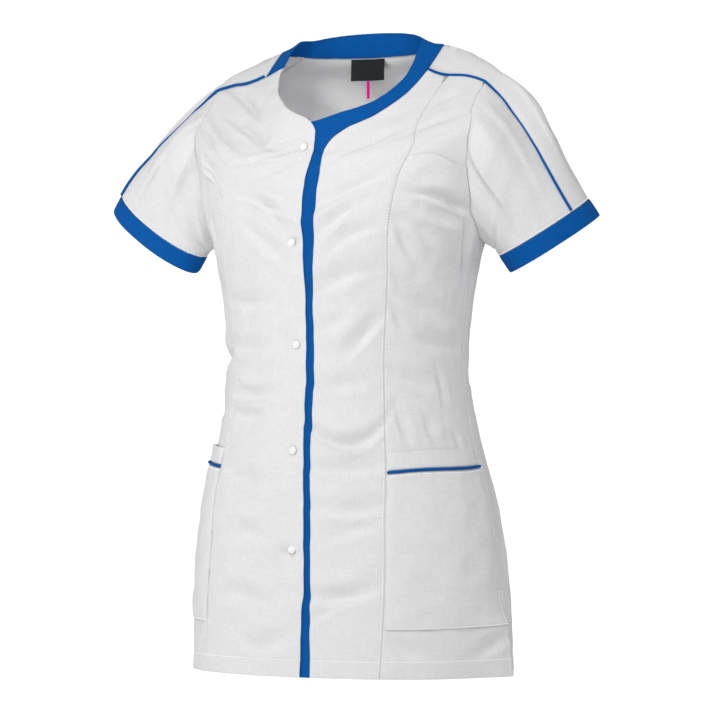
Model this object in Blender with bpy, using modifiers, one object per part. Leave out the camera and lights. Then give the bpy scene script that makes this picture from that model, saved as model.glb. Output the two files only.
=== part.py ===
"""Women's medical tunic with short raglan-backed sleeves, royal blue trim and five snaps.

Worn hollow shape, metres, +Z up. The front faces -Y and +X is the wearer's left.
Every cut piece is a closed wall on one shared form, a hair apart from its neighbours.
"""
import math

import bmesh
import bpy
import numpy as np
from mathutils import Vector

# Cloth and seams
WALL = 0.0012
SEAM_HALF = 0.0003
ARMHOLE_HALF = 0.0006
LAYER = WALL + 0.0007
FRONT_LAYER = WALL + 0.0013
PIPING_RADIUS = 0.0014
PIPING_SEAM_HALF = PIPING_RADIUS + 0.0006
PIPING_NECK_GAP_T = 0.0025
PIPING_CUFF_GAP = 0.0006

# Front opening
FRONT_EDGE_X = 0.014
BAND_INNER_X = -0.013
BAND_OUTER_X = 0.027
OVERLAP_BLEND_X = 0.030
SNAP_RADIUS = 0.0056
SNAP_HEIGHT = 0.0018
SNAP_CLEAR = 0.0003
SNAP_HEIGHTS_T = (0.925, 0.657, 0.506, 0.347, 0.198)

# Sleeves
CUFF_WIDTH = 0.024
CUFF_SEGMENTS = 32
SLEEVE_ROWS = 8
SHOULDER_ROWS = 7
SLEEVE_TENSION = 0.85
SLEEVE_SQUARE = 0.8
TIP_FLOW = 0.3
CROWN_TURN = 0.25
SEAM_LEAD = 0.12
FLOW_START_T = 0.76

# Hip pockets: side, height of the mouth, how far the mouth stands open
POCKETS = (("left", 0.345, 0.0030), ("right", 0.339, 0.0070))
POCKET_BOTTOM_T = 0.078
POCKET_BAND_T = 0.026
POCKET_PIPING_T = 0.0052
POCKET_SIDE_ANGLE = 0.6
POCKET_RISE_T = 0.004
POCKET_PIPING_RAISE = 0.0005

# Label and its ribbon inside the back neck
LABEL_TOP_T = 0.957
LABEL_HALF_WIDTH = 0.021
LABEL_DROP = (0.0, 0.0235)
LABEL_X = -0.008
RIBBON_HALF_WIDTH = 0.002
RIBBON_DROP = (0.0238, 0.046)
RIBBON_X = -0.008
LABEL_CLEAR = 0.0008
LABEL_THICK = 0.0008
RIBBON_THICK = 0.0006

# Torso rings from hem to neck edge, each two half superellipses hinged at the sides
RING_COLUMNS = (
    "side_x", "side_y", "side_z", "front_y", "front_z", "back_y", "back_z",
    "front_p", "front_q", "back_p", "back_q", "tilt",
)
RINGS = {
    "hem": (0.209, 0.008, -0.751, -0.144, -0.743, 0.146, -0.7525, 2.3, 2.3, 2.3, 2.3, 0.030),
    "low": (0.206, 0.008, -0.640, -0.141, -0.640, 0.126, -0.640, 2.3, 2.3, 2.3, 2.3, 0.012),
    "hip": (0.192, 0.006, -0.540, -0.139, -0.540, 0.114, -0.540, 2.25, 2.25, 2.3, 2.3, 0.0),
    "high_hip": (0.169, 0.004, -0.455, -0.135, -0.455, 0.106, -0.455, 2.2, 2.2, 2.3, 2.3, 0.0),
    "waist": (0.1575, 0.002, -0.365, -0.128, -0.365, 0.084, -0.365, 2.2, 2.2, 2.3, 2.3, 0.0),
    "under_bust": (0.164, 0.002, -0.290, -0.130, -0.290, 0.088, -0.290, 2.2, 2.2, 2.3, 2.3, 0.0),
    "bust": (0.176, 0.002, -0.225, -0.138, -0.220, 0.102, -0.220, 2.2, 2.2, 2.3, 2.3, 0.0),
    "armpit": (0.188, 0.003, -0.190, -0.136, -0.185, 0.112, -0.170, 2.2, 2.2, 2.4, 2.4, 0.0),
    "chest": (0.205, 0.006, -0.120, -0.127, -0.145, 0.122, -0.110, 2.2, 2.2, 2.4, 2.4, 0.0),
    "shoulder": (0.212, 0.012, -0.026, -0.117, -0.118, 0.115, -0.050, 2.2, 2.3, 2.4, 2.4, 0.0),
    "slope": (0.165, 0.026, 0.006, -0.111, -0.106, 0.093, -0.005, 1.9, 2.5, 2.3, 2.5, 0.0),
    "neck": (0.118, 0.028, 0.028, -0.107, -0.088, 0.062, 0.019, 1.7, 3.0, 2.0, 2.0, 0.0),
    "top": (0.089, 0.010, 0.027, -0.102, -0.066, 0.055, 0.049, 1.5, 2.6, 2.2, 3.0, 0.0),
}

# Seams as height t against angle in degrees, measured from the front centre towards a side
PRINCESS_LEFT = (
    (0.0, 30), (0.082, 31), (0.20, 33), (0.244, 34), (0.35, 38.5), (0.442, 40), (0.608, 40),
    (0.708, 37), (0.77, 36), (0.82, 37), (0.85, 39.5), (0.876, 43.5), (0.905, 53), (0.920, 61),
    (0.928, 70), (0.934, 79), (0.963, 81),
)
PRINCESS_RIGHT = (
    (0.0, 39), (0.108, 39), (0.186, 39), (0.292, 41.5), (0.34, 41), (0.452, 38), (0.51, 41),
    (0.60, 43), (0.708, 37), (0.742, 36), (0.83, 37),
)
ARMHOLE_FRONT = (
    (0.670, 91), (0.688, 86), (0.718, 77), (0.750, 71), (0.782, 67), (0.822, 64), (0.858, 67),
    (0.874, 74), (0.880, 83),
)
ARMHOLE_BACK = (
    (0.670, 91), (0.690, 98), (0.720, 105), (0.760, 110), (0.800, 112), (0.845, 108),
    (0.862, 101), (0.873, 93), (0.880, 83),
)
ARMPIT_T = 0.670
TIP_T = 0.880
RAGLAN_T = 0.845
RAGLAN_NECK_ANGLE = 125.0
SHOULDER_ANGLE = 81.0
PIPING_LINE = ((0.880, 83), (0.904, 82), (0.934, 80), (0.963, 81))
BACK_SPANS = ((TIP_T, RAGLAN_T, 5), (RAGLAN_T, ARMPIT_T, 10))
FRONT_SPANS = ((ARMPIT_T, 0.80, 8), (0.80, 0.848, 4), (0.848, TIP_T, 5))
RAGLAN_CELLS = BACK_SPANS[0][2]
BACK_CELLS = sum(span[2] for span in BACK_SPANS)
FRONT_CELLS = sum(span[2] for span in FRONT_SPANS)
VENT_TOP_T = 0.125
VENT_ANGLE = 1.4
PIPING_TOP_T = 0.933
SIDE_TOP_T = 0.931
NECK_CORNER_T = 0.008

# Neck edge: angle in degrees against height t
NECKLINE_LEFT = ((0, 0.990), (7, 0.990), (29, 0.990), (43, 0.984), (55, 0.980), (72, 0.984), (84, 1.0))
CHEST_MOUTH = ((36, 0.820), (45, 0.816), (67, 0.781), (90, 0.770))
CHEST_MOUTH_ENDS = (36.5, 67.5)
MOUTH_GAPE = 0.0022

# Top of the right side front, as share of its width against height t, from princess seam to armhole
RIGHT_PANEL_TOP = (
    (0.0, 0.742), (0.143, 0.788), (0.286, 0.798), (0.429, 0.803), (0.571, 0.809), (0.714, 0.815),
    (0.857, 0.820), (1.0, 0.826),
)

# Sleeve ends: side, cuff centre, way out of the cuff, half axes, angle of the piping, crown height
SLEEVE_COLUMNS = ("sign", "centre", "axis", "half_up", "half_wide", "piping_angle", "crown")
SLEEVES = {
    "left": (1.0, (0.253, 0.048, -0.209), (0.413, 0.361, -0.835), 0.0645, 0.058, 60.0, 0.014),
    "right": (-1.0, (-0.284, -0.001, -0.201), (-0.55, 0.05, -0.83), 0.0765, 0.0405, 28.0, 0.006),
}

# Soft folds on the body, sized on a round body of this radius and length
BODY_RADIUS = 0.17
BODY_LENGTH = 0.86
FOLD_COLUMNS = ("angle", "height", "half_length", "half_width", "slope", "depth")
FOLDS = (
    (20.0, 0.455, 0.050, 0.012, 0.10, -0.0024),
    (22.0, 0.380, 0.052, 0.012, -0.25, -0.0030),
    (-24.0, 0.430, 0.044, 0.012, -0.10, -0.0028),
    (14.0, 0.318, 0.040, 0.012, 0.20, -0.0018),
    (58.0, 0.728, 0.034, 0.012, 0.35, -0.0036),
    (-52.0, 0.735, 0.034, 0.012, 0.35, -0.0036),
    (-24.0, 0.700, 0.040, 0.013, -0.80, -0.0030),
    (24.0, 0.700, 0.040, 0.013, 0.80, -0.0026),
    (-20.0, 0.880, 0.032, 0.011, -0.60, -0.0022),
    (46.0, 0.420, 0.034, 0.011, 2.60, -0.0030),
    (150.0, 0.440, 0.055, 0.013, 0.12, -0.0034),
    (-160.0, 0.490, 0.060, 0.014, -0.16, -0.0030),
    (-140.0, 0.400, 0.045, 0.013, 0.22, -0.0028),
    (122.0, 0.720, 0.045, 0.014, 0.70, -0.0032),
    (-124.0, 0.715, 0.045, 0.014, 0.70, -0.0032),
)

WHITE = ("cloth_white", (0.86, 0.87, 0.88), 0.72)
BLUE = ("trim_blue", (0.012, 0.095, 0.33), 0.66)
PEARL = ("snap_pearl", (0.84, 0.85, 0.86), 0.28)
CHARCOAL = ("label_charcoal", (0.018, 0.022, 0.028), 0.55)
PINK = ("ribbon_pink", (0.80, 0.0, 0.25), 0.5)


def smooth(table, x):
    """Smooth curve through a table of two columns, without overshoot."""
    xs = np.array([row[0] for row in table], float)
    ys = np.array([row[1] for row in table], float)
    x = np.clip(np.asarray(x, float), xs[0], xs[-1])
    slope = np.diff(ys) / np.diff(xs)
    product = slope[1:] * slope[:-1]
    total = np.where(product > 0, slope[1:] + slope[:-1], 1.0)
    inner = np.where(product > 0, 2 * product / total, 0.0)
    tangent = np.concatenate([[slope[0]], inner, [slope[-1]]])
    k = np.clip(np.searchsorted(xs, x, side="right") - 1, 0, len(xs) - 2)
    step = xs[k + 1] - xs[k]
    w = (x - xs[k]) / step
    rise = (3 * w**2 - 2 * w**3) * (ys[k + 1] - ys[k])
    return ys[k] + rise + step * ((w**3 - 2 * w**2 + w) * tangent[k] + (w**3 - w**2) * tangent[k + 1])


def unit(vectors):
    """Vectors of length one."""
    length = np.linalg.norm(vectors, axis=-1, keepdims=True)
    return vectors / np.maximum(length, 1e-12)


def ring_points(angle):
    """Points of every ring at one angle, in degrees from the front centre."""
    phi = np.radians(np.asarray(angle, float))
    s = np.where(np.abs(np.sin(phi)) < 1e-12, 0.0, np.sin(phi))
    c = np.where(np.abs(np.cos(phi)) < 1e-12, 0.0, np.cos(phi))
    front = c >= 0
    rows = []
    for values in RINGS.values():
        ring = dict(zip(RING_COLUMNS, values))
        reach = np.where(front, np.abs(s) ** (2 / ring["front_p"]), np.abs(s) ** (2 / ring["back_p"]))
        lean = np.where(front, np.abs(c) ** (2 / ring["front_q"]), np.abs(c) ** (2 / ring["back_q"]))
        x = np.sign(s) * ring["side_x"] * reach
        end_y = np.where(front, ring["front_y"], ring["back_y"])
        end_z = np.where(front, ring["front_z"], ring["back_z"])
        y = ring["side_y"] + lean * (end_y - ring["side_y"])
        z = ring["side_z"] + lean * (end_z - ring["side_z"]) + ring["tilt"] * x
        rows.append(np.stack([x, y, z], -1))
    return np.array(rows)


def ring_heights():
    """Height t of each ring, zero at the hem and one at the neck edge."""
    points = ring_points(np.arange(0, 360, 5))
    steps = np.linalg.norm(np.diff(points, axis=0), axis=-1).mean(1)
    heights = np.concatenate([[0.0], np.cumsum(steps)])
    return heights / heights[-1]


HEIGHTS = ring_heights()
NECK_T = float(HEIGHTS[-2])

# Blue band of the left front: outer corner, stations along it and the inner angle facing each
STRIP_TOP_T = 0.885
BAND_CORNER = ((11, 0.915), (17, 0.943), (23, 0.956), (32, NECK_T), (81, NECK_T))
BAND_STATIONS = (11.0, 14.0, 17.0, 20.0, 23.0, 27.0, 32.0, 45.0, 57.0, 69.0, 81.0)
BAND_PAIRS = ((8, -6.5), (11, -3), (17, 6), (23, 15), (32, 27), (52, 50), (81, 81))
STRIP_ROWS = np.linspace(STRIP_TOP_T, 0.0, 31)


def body(angle, t):
    """Point of the smooth body at an angle and a height t."""
    angle, t = np.broadcast_arrays(np.asarray(angle, float), np.asarray(t, float))
    points = ring_points(angle)
    last = len(HEIGHTS) - 1
    tangents = np.empty_like(points)
    tangents[0] = (points[1] - points[0]) / (HEIGHTS[1] - HEIGHTS[0])
    tangents[last] = (points[last] - points[last - 1]) / (HEIGHTS[last] - HEIGHTS[last - 1])
    for i in range(1, last):
        before = HEIGHTS[i] - HEIGHTS[i - 1]
        after = HEIGHTS[i + 1] - HEIGHTS[i]
        down = (points[i] - points[i - 1]) / before
        rise = (points[i + 1] - points[i]) / after
        tangents[i] = (down * after + rise * before) / (before + after)
    k = np.clip(np.searchsorted(HEIGHTS, t, side="right") - 1, 0, last - 1)
    step = (HEIGHTS[k + 1] - HEIGHTS[k])[..., None]
    w = ((t - HEIGHTS[k])[..., None]) / step

    def pick(array, index):
        chosen = np.repeat(index[None, ..., None], 3, axis=-1)
        return np.take_along_axis(array, chosen, 0)[0]

    start, end = pick(points, k), pick(points, k + 1)
    leave, arrive = pick(tangents, k), pick(tangents, k + 1)
    curve = (2 * w**3 - 3 * w**2 + 1) * start + (3 * w**2 - 2 * w**3) * end
    return curve + step * ((w**3 - 2 * w**2 + w) * leave + (w**3 - w**2) * arrive)


def body_normal(angle, t):
    """Outward normal of the smooth body."""
    low = np.maximum(np.asarray(t, float) - 0.003, 0.0)
    high = np.minimum(np.asarray(t, float) + 0.003, 1.0)
    across = body(np.asarray(angle, float) + 1.5, t) - body(np.asarray(angle, float) - 1.5, t)
    along = body(angle, high) - body(angle, low)
    return unit(np.cross(across, along))


def folds(angle, t):
    """Height of the soft folds above the smooth body."""
    angle = (np.asarray(angle, float) + 180.0) % 360.0 - 180.0
    total = np.zeros(np.broadcast(angle, t).shape)
    for values in FOLDS:
        fold = dict(zip(FOLD_COLUMNS, values))
        u = np.radians(angle - fold["angle"]) * BODY_RADIUS
        v = (t - fold["height"]) * BODY_LENGTH
        lean = math.hypot(1.0, fold["slope"])
        along = (u + fold["slope"] * v) / lean
        across = (v - fold["slope"] * u) / lean
        shape = np.exp(-((along / fold["half_length"]) ** 2) - (across / fold["half_width"]) ** 2)
        total += fold["depth"] * shape
    return total


def angle_at_x(x, t, behind=False):
    """Angle at which the front or the back reaches a distance from the middle plane."""
    low = np.full(np.shape(t), -60.0)
    high = np.full(np.shape(t), 60.0)
    for _ in range(40):
        middle = 0.5 * (low + high)
        beyond = body(180.0 - middle if behind else middle, t)[..., 0] > x
        high = np.where(beyond, middle, high)
        low = np.where(beyond, low, middle)
    middle = 0.5 * (low + high)
    return 180.0 - middle if behind else middle


def stations(*spans):
    """Row heights from spans of start, end and number of steps."""
    rows = [np.linspace(a, b, n + 1)[:-1] for a, b, n in spans]
    return np.concatenate(rows + [[spans[-1][1]]])


def grid(left, right, rows, columns):
    """Angles and heights of a panel between two side seams."""
    share = np.linspace(0.0, 1.0, columns + 1)[None, :]
    t = np.asarray(rows, float)
    t = t[:, None] if t.ndim == 1 else t
    return left(t) * (1 - share) + right(t) * share, t + 0 * share


def inset(base, left, right, bottom, top):
    """Shift that draws the border rows of a grid back from the seams."""
    shift = np.zeros_like(base)
    shift[:, 0] += unit(base[:, 1] - base[:, 0]) * np.reshape(left, (-1, 1))
    shift[:, -1] += unit(base[:, -2] - base[:, -1]) * np.reshape(right, (-1, 1))
    shift[0] += unit(base[1] - base[0]) * bottom
    shift[-1] += unit(base[-2] - base[-1]) * top
    return shift


def seam_or_piping(t, start):
    """Half width of a seam that opens for the piping above a height."""
    return np.where(np.asarray(t) > start, PIPING_SEAM_HALF, SEAM_HALF)


def material(spec):
    """Plain surface finish, made once for each colour."""
    name, colour, roughness = spec
    made = bpy.data.materials.get(name)
    if made is None:
        made = bpy.data.materials.new(name)
        made.use_nodes = True
        surface = made.node_tree.nodes["Principled BSDF"]
        surface.inputs["Base Color"].default_value = (*colour, 1.0)
        surface.inputs["Roughness"].default_value = roughness
        surface.inputs["Metallic"].default_value = 0.0
    return made


def finish(part, spec):
    """Material, collection and smooth faces of a finished part."""
    part.data.materials.append(material(spec))
    for other in list(part.users_collection):
        other.objects.unlink(part)
    TUNIC.objects.link(part)
    return part


def wall(name, inner, outer, spec, keep=None, closed=False):
    """Closed wall between two matching grids of points."""
    rows, columns = inner.shape[:2]
    mesh = bmesh.new()
    layers = []
    for points in (inner, outer):
        layers.append([[None] * columns for _ in range(rows)])
        for i in range(rows):
            for j in range(columns):
                layers[-1][i][j] = mesh.verts.new(points[i, j])
    spans = columns if closed else columns - 1
    cells = {(i, j) for i in range(rows - 1) for j in range(spans) if keep is None or keep[i, j]}
    for i, j in sorted(cells):
        k = (j + 1) % columns
        for layer in layers:
            mesh.faces.new((layer[i][j], layer[i][k], layer[i + 1][k], layer[i + 1][j]))
        borders = (
            ((i - 1, j), (i, j), (i, k)),
            ((i + 1, j), (i + 1, j), (i + 1, k)),
            ((i, (j - 1) % columns if closed else j - 1), (i, j), (i + 1, j)),
            ((i, k if closed else j + 1), (i, k), (i + 1, k)),
        )
        for beside, start, end in borders:
            if beside not in cells:
                inside, outside = layers
                mesh.faces.new(
                    (
                        inside[start[0]][start[1]],
                        inside[end[0]][end[1]],
                        outside[end[0]][end[1]],
                        outside[start[0]][start[1]],
                    )
                )
    loose = [vertex for vertex in mesh.verts if not vertex.link_faces]
    bmesh.ops.delete(mesh, geom=loose, context="VERTS")
    bmesh.ops.recalc_face_normals(mesh, faces=mesh.faces[:])
    data = bpy.data.meshes.new(name)
    mesh.to_mesh(data)
    mesh.free()
    part = bpy.data.objects.new(name, data)
    bpy.context.scene.collection.objects.link(part)
    bpy.context.view_layer.objects.active = part
    part.select_set(True)
    bpy.ops.object.shade_smooth()
    data.set_sharp_from_angle(angle=math.radians(40))
    part.select_set(False)
    return finish(part, spec)


def panel(name, angle, t, spec, edges, lift=0.0, thick=WALL):
    """Body panel from its angles and heights, drawn back at its edges."""
    base = body(angle, t)
    normal = body_normal(angle, t)
    height = (folds(angle, t) + lift)[..., None]
    outer = base + inset(base, *edges) + normal * height
    return wall(name, outer - normal * thick, outer, spec)


def side_seam(sign, towards):
    """Front or back border of a side: vent, side seam, armhole, then shoulder seam."""
    def border(t):
        vent = np.clip((VENT_TOP_T - t) / VENT_TOP_T, 0.0, 1.0) * VENT_ANGLE
        if towards == "front":
            upper = smooth(ARMHOLE_FRONT, t)
            shoulder = smooth(PIPING_LINE, t)
            angle = np.where(t < ARMPIT_T, 90.0 + t / ARMPIT_T - vent, upper)
            return sign * np.where(t > TIP_T, shoulder, angle)
        upper = smooth(ARMHOLE_BACK, t)
        share = np.clip((t - RAGLAN_T) / (NECK_T - RAGLAN_T), 0.0, 1.0)
        start = smooth(ARMHOLE_BACK, RAGLAN_T)
        raglan = start + (RAGLAN_NECK_ANGLE - start) * share
        angle = np.where(t < ARMPIT_T, 90.0 + t / ARMPIT_T + 0.4 * vent, upper)
        return sign * np.where(t > RAGLAN_T, raglan, angle)
    return border


def body_point(angle, t, lift):
    """Single point of the folded body, raised by a lift."""
    place = body(angle, t) + body_normal(angle, t) * (folds(angle, t) + lift)
    return Vector(place)


for old in list(bpy.data.objects):
    bpy.data.objects.remove(old, do_unlink=True)
TUNIC = bpy.data.collections.new("medical_tunic")
bpy.context.scene.collection.children.link(TUNIC)

LOWER_ROWS = ((0.0, 0.13, 4), (0.13, 0.35, 6), (0.35, 0.50, 7), (0.50, ARMPIT_T, 6))
YOKE_STATIONS = (0.80, 0.812, 0.824, 0.836, 0.848, 0.858, 0.866, 0.873, TIP_T, 0.891, 0.902, 0.912, 0.921)
YOKE_ROWS = np.array(YOKE_STATIONS + (0.926, SIDE_TOP_T))
CHEST_STATIONS = (0.761, 0.776, 0.791, 0.806, 0.821, 0.835, 0.847, 0.857, 0.866, 0.873, TIP_T, 0.893, 0.906)
CHEST_ARMHOLE_ROWS = np.array(CHEST_STATIONS + (0.919, SIDE_TOP_T))
NECK_ROWS = np.array((0.936, 0.945, 0.954, NECK_T))

# Back, one panel between the side seams and the raglan seams
rows = stations(*LOWER_ROWS, (ARMPIT_T, 0.80, 9), (0.80, RAGLAN_T, 4), (RAGLAN_T, NECK_T, 8))
back_seam = side_seam(1.0, "back")
angle, t = grid(back_seam, lambda height: 360.0 - back_seam(height), rows, 15)
panel("back", angle, t, WHITE, (SEAM_HALF, SEAM_HALF, 0.0, SEAM_HALF))

# Right side front, from hem to the seam that runs from the princess line to the armhole
lower_rows = stations(*LOWER_ROWS, (ARMPIT_T, YOKE_ROWS[0], 12))
share = np.linspace(0.0, 1.0, 8)[None, :]
t = lower_rows[:, None] / YOKE_ROWS[0] * smooth(RIGHT_PANEL_TOP, share)
angle = -smooth(PRINCESS_RIGHT, t) * (1 - share) + side_seam(-1.0, "front")(t) * share
panel("side_front_right", angle, t, WHITE, (SEAM_HALF, SEAM_HALF, 0.0, SEAM_HALF))
panel_top_angle, panel_top_t = angle[-1], t[-1]

# Right front, the upper layer of the opening, up to the armhole, shoulder seam and turned neck edge
shoulder_rows = np.concatenate([YOKE_ROWS[3:], NECK_ROWS, np.linspace(NECK_T, 1.0, 4)[1:]])
shoulder_angle = side_seam(-1.0, "front")(shoulder_rows)
seam_t = np.concatenate([lower_rows[:-1] / YOKE_ROWS[0] * panel_top_t[0], panel_top_t, shoulder_rows])
seam_angle = np.concatenate([-smooth(PRINCESS_RIGHT, seam_t[: len(lower_rows) - 1]), panel_top_angle, shoulder_angle])
upper_steps = len(seam_t) - len(lower_rows)
edge_t = np.concatenate([seam_t[: len(lower_rows)], np.linspace(panel_top_t[0], 1.0, upper_steps + 1)[1:]])
share = np.linspace(0.0, 1.0, 11)[None, :]
t = seam_t[:, None] * (1 - share) + edge_t[:, None] * share
edge_angle = angle_at_x(FRONT_EDGE_X, edge_t)[:, None]
angle = seam_angle[:, None] * (1 - share) + edge_angle * share
corner = np.zeros_like(t)
corner[:, -1] = 1.0
t = t - NECK_CORNER_T * corner * np.clip((t - 0.93) / 0.07, 0.0, 1.0)
reach = (body(angle, t)[..., 0] - BAND_INNER_X + 2 * OVERLAP_BLEND_X) / OVERLAP_BLEND_X
reach = np.clip(reach, 0.0, 1.0)
overlap = FRONT_LAYER * reach * reach * (3 - 2 * reach)
edges = (seam_or_piping(seam_t, TIP_T - 0.001), 0.0, 0.0, 0.0)
panel("front_right", angle, t, WHITE, edges, lift=overlap)

# Left front, from the blue strip to the princess seam
rows = stations(*LOWER_ROWS, (ARMPIT_T, YOKE_ROWS[0], 7))[:-1]
rows = np.concatenate([rows, YOKE_ROWS, NECK_ROWS])
strip_top = float(angle_at_x(BAND_OUTER_X, np.array([STRIP_TOP_T]))[0])
corner_line = ((strip_top, STRIP_TOP_T),) + BAND_CORNER
corner_angles = np.array((strip_top,) + BAND_STATIONS)
share = ((corner_angles - strip_top) / (corner_angles[-1] - strip_top))[None, :]
t = rows[:, None] / NECK_T * smooth(corner_line, corner_angles)[None, :]
start = angle_at_x(BAND_OUTER_X, t[:, :1])
angle = start * (1 - share) + smooth(PRINCESS_LEFT, t[:, -1:]) * share
edges = (SEAM_HALF, seam_or_piping(rows, PIPING_TOP_T), 0.0, SEAM_HALF)
panel("front_left", angle, t, WHITE, edges)

# Left side front, up to the open mouth of the chest pocket
rows = stations(*LOWER_ROWS, (ARMPIT_T, YOKE_ROWS[0], 12))
share = np.linspace(0.0, 1.0, 8)[None, :]
top_t = smooth(CHEST_MOUTH, CHEST_MOUTH_ENDS[0] * (1 - share) + CHEST_MOUTH_ENDS[1] * share)
t = rows[:, None] / YOKE_ROWS[0] * top_t
angle = smooth(PRINCESS_LEFT, t) * (1 - share) + side_seam(1.0, "front")(t) * share
mouth = np.clip((t / top_t - 0.90) / 0.07, 0.0, 1.0)
gape = LAYER * mouth * mouth * (3 - 2 * mouth) + MOUTH_GAPE * mouth**2 * np.sin(math.pi * share)
panel("side_front_left", angle, t, WHITE, (SEAM_HALF, ARMHOLE_HALF, 0.0, 0.0), lift=gape)

# Left chest, which starts a finger behind the pocket mouth and runs to the shoulder seam
share = np.linspace(0.0, 1.0, 7)[None, :]
t = YOKE_ROWS[:, None] * (1 - share) + CHEST_ARMHOLE_ROWS[:, None] * share
angle = smooth(PRINCESS_LEFT, t) * (1 - share) + side_seam(1.0, "front")(t) * share
edges = (SEAM_HALF, seam_or_piping(t[:, -1], TIP_T - 0.001), 0.0, PIPING_SEAM_HALF)
panel("chest_left", angle, t, WHITE, edges)

# Blue band of the left front, round the neck corner and down the front edge
outer_angle = np.concatenate([corner_angles[::-1], angle_at_x(BAND_OUTER_X, STRIP_ROWS[1:])])
outer_t = np.concatenate([smooth(corner_line, corner_angles)[::-1], STRIP_ROWS[1:]])
inner_angle = smooth(BAND_PAIRS, corner_angles[::-1])
inner_t = smooth(NECKLINE_LEFT, inner_angle)
strip_inner = STRIP_ROWS[1:] / STRIP_TOP_T * inner_t[-1]
inner_angle = np.concatenate([inner_angle, angle_at_x(BAND_INNER_X, strip_inner)])
inner_t = np.concatenate([inner_t, strip_inner])
share = np.linspace(0.0, 1.0, 4)[None, :]
angle = inner_angle[:, None] * (1 - share) + outer_angle[:, None] * share
t = inner_t[:, None] * (1 - share) + outer_t[:, None] * share
panel("front_band", angle, t, BLUE, (0.0, SEAM_HALF, SEAM_HALF, 0.0))

# Blue neck band from the right shoulder round the back to the left shoulder
rows = np.linspace(NECK_T, 1.0, 4)
angle = np.linspace(SHOULDER_ANGLE, 360.0 - SHOULDER_ANGLE, 25)[None, :] + 0 * rows[:, None]
t = rows[:, None] + 0 * angle
panel("neck_band", angle, t, BLUE, (SEAM_HALF, SEAM_HALF, SEAM_HALF, 0.0))


def loop_stations(table, spans):
    """Angles and heights along an armhole, evenly spaced within each span."""
    angles, heights = [], []
    for low, high, count in spans:
        fine = np.linspace(low, high, 200)
        points = body(smooth(table, fine), fine)
        length = np.concatenate([[0.0], np.cumsum(np.linalg.norm(np.diff(points, axis=0), axis=1))])
        even = np.interp(np.linspace(0.0, length[-1], count + 1), length, fine)
        heights.append(even if not heights else even[1:])
    heights = np.concatenate(heights)
    angles = smooth(table, heights)
    return angles, heights


def sleeve(side):
    """Points and normals of a whole sleeve, columns round it and rows from armhole to cuff."""
    spec = dict(zip(SLEEVE_COLUMNS, SLEEVES[side]))
    sign = spec["sign"]
    back_angle, back_t = loop_stations(ARMHOLE_BACK, BACK_SPANS)
    front_angle, front_t = loop_stations(ARMHOLE_FRONT, FRONT_SPANS)
    angle = np.concatenate([back_angle, front_angle[1:-1]])
    t = np.concatenate([back_t, front_t[1:-1]])
    start = body(sign * angle, t) + body_normal(sign * angle, t) * folds(sign * angle, t)[:, None]
    neck_angle = np.concatenate(
        [
            np.linspace(SHOULDER_ANGLE, RAGLAN_NECK_ANGLE, RAGLAN_CELLS + 1),
            np.full(BACK_CELLS - RAGLAN_CELLS, RAGLAN_NECK_ANGLE),
            np.full(FRONT_CELLS - 1, SHOULDER_ANGLE),
        ]
    )
    toward_t = t + SEAM_LEAD * (NECK_T - t)
    toward_angle = angle + SEAM_LEAD * (neck_angle - angle)
    along_body = unit(body(sign * angle, t) - body(sign * toward_angle, toward_t))
    axis = unit(np.array(spec["axis"]))
    flow = np.clip((t - FLOW_START_T) / (RAGLAN_T - FLOW_START_T), 0.0, 1.0)
    flow = flow * flow * (3 - 2 * flow)
    from_tip = np.minimum(np.arange(len(t)), len(t) - np.arange(len(t)))
    flow = (flow * (TIP_FLOW + (1 - TIP_FLOW) * np.clip(from_tip / 3.0, 0.0, 1.0)))[:, None]
    leave = unit(along_body * flow + axis * (1 - flow))
    seam = unit(np.roll(start, -1, axis=0) - np.roll(start, 1, axis=0))
    leave = unit(leave - seam * np.sum(leave * seam, axis=1, keepdims=True) * SLEEVE_SQUARE)
    up = unit(np.array((0.0, 0.0, 1.0)) - axis * axis[2])
    forward = sign * unit(np.cross(axis, (0.0, 0.0, 1.0)))
    back_turn = np.linspace(spec["piping_angle"], -180.0, BACK_CELLS + 1)
    front_turn = np.linspace(180.0, spec["piping_angle"], FRONT_CELLS + 1)[1:-1]
    turn = np.radians(np.concatenate([back_turn, front_turn]))[:, None]
    ring = up * spec["half_up"] * np.cos(turn) + forward * spec["half_wide"] * np.sin(turn)
    end = np.array(spec["centre"]) - axis * CUFF_WIDTH / 2 + ring
    reach = np.linalg.norm(end - start, axis=1, keepdims=True) * SLEEVE_TENSION
    over = np.clip(np.cos(turn * 1.1 + CROWN_TURN), 0.0, 1.0) ** 2 * (np.abs(turn) < math.pi / 2)
    crown = spec["crown"] * over * unit(up + 0.5 * axis)
    rows = []
    for w in np.linspace(0.0, 1.0, SLEEVE_ROWS + 1):
        place = (2 * w**3 - 3 * w**2 + 1) * start + (3 * w**2 - 2 * w**3) * end
        place = place + (w**3 - 2 * w**2 + w) * leave * reach + (w**3 - w**2) * axis * reach
        rows.append(place + crown * math.sin(math.pi * w**0.5) ** 2)
    points = np.array(rows)
    round_it = np.roll(points, -1, axis=1) - np.roll(points, 1, axis=1)
    normals = unit(np.cross(np.gradient(points, axis=0), round_it)) * sign
    normals[0] = body_normal(sign * angle, t)
    return points, normals, angle, t


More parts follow.
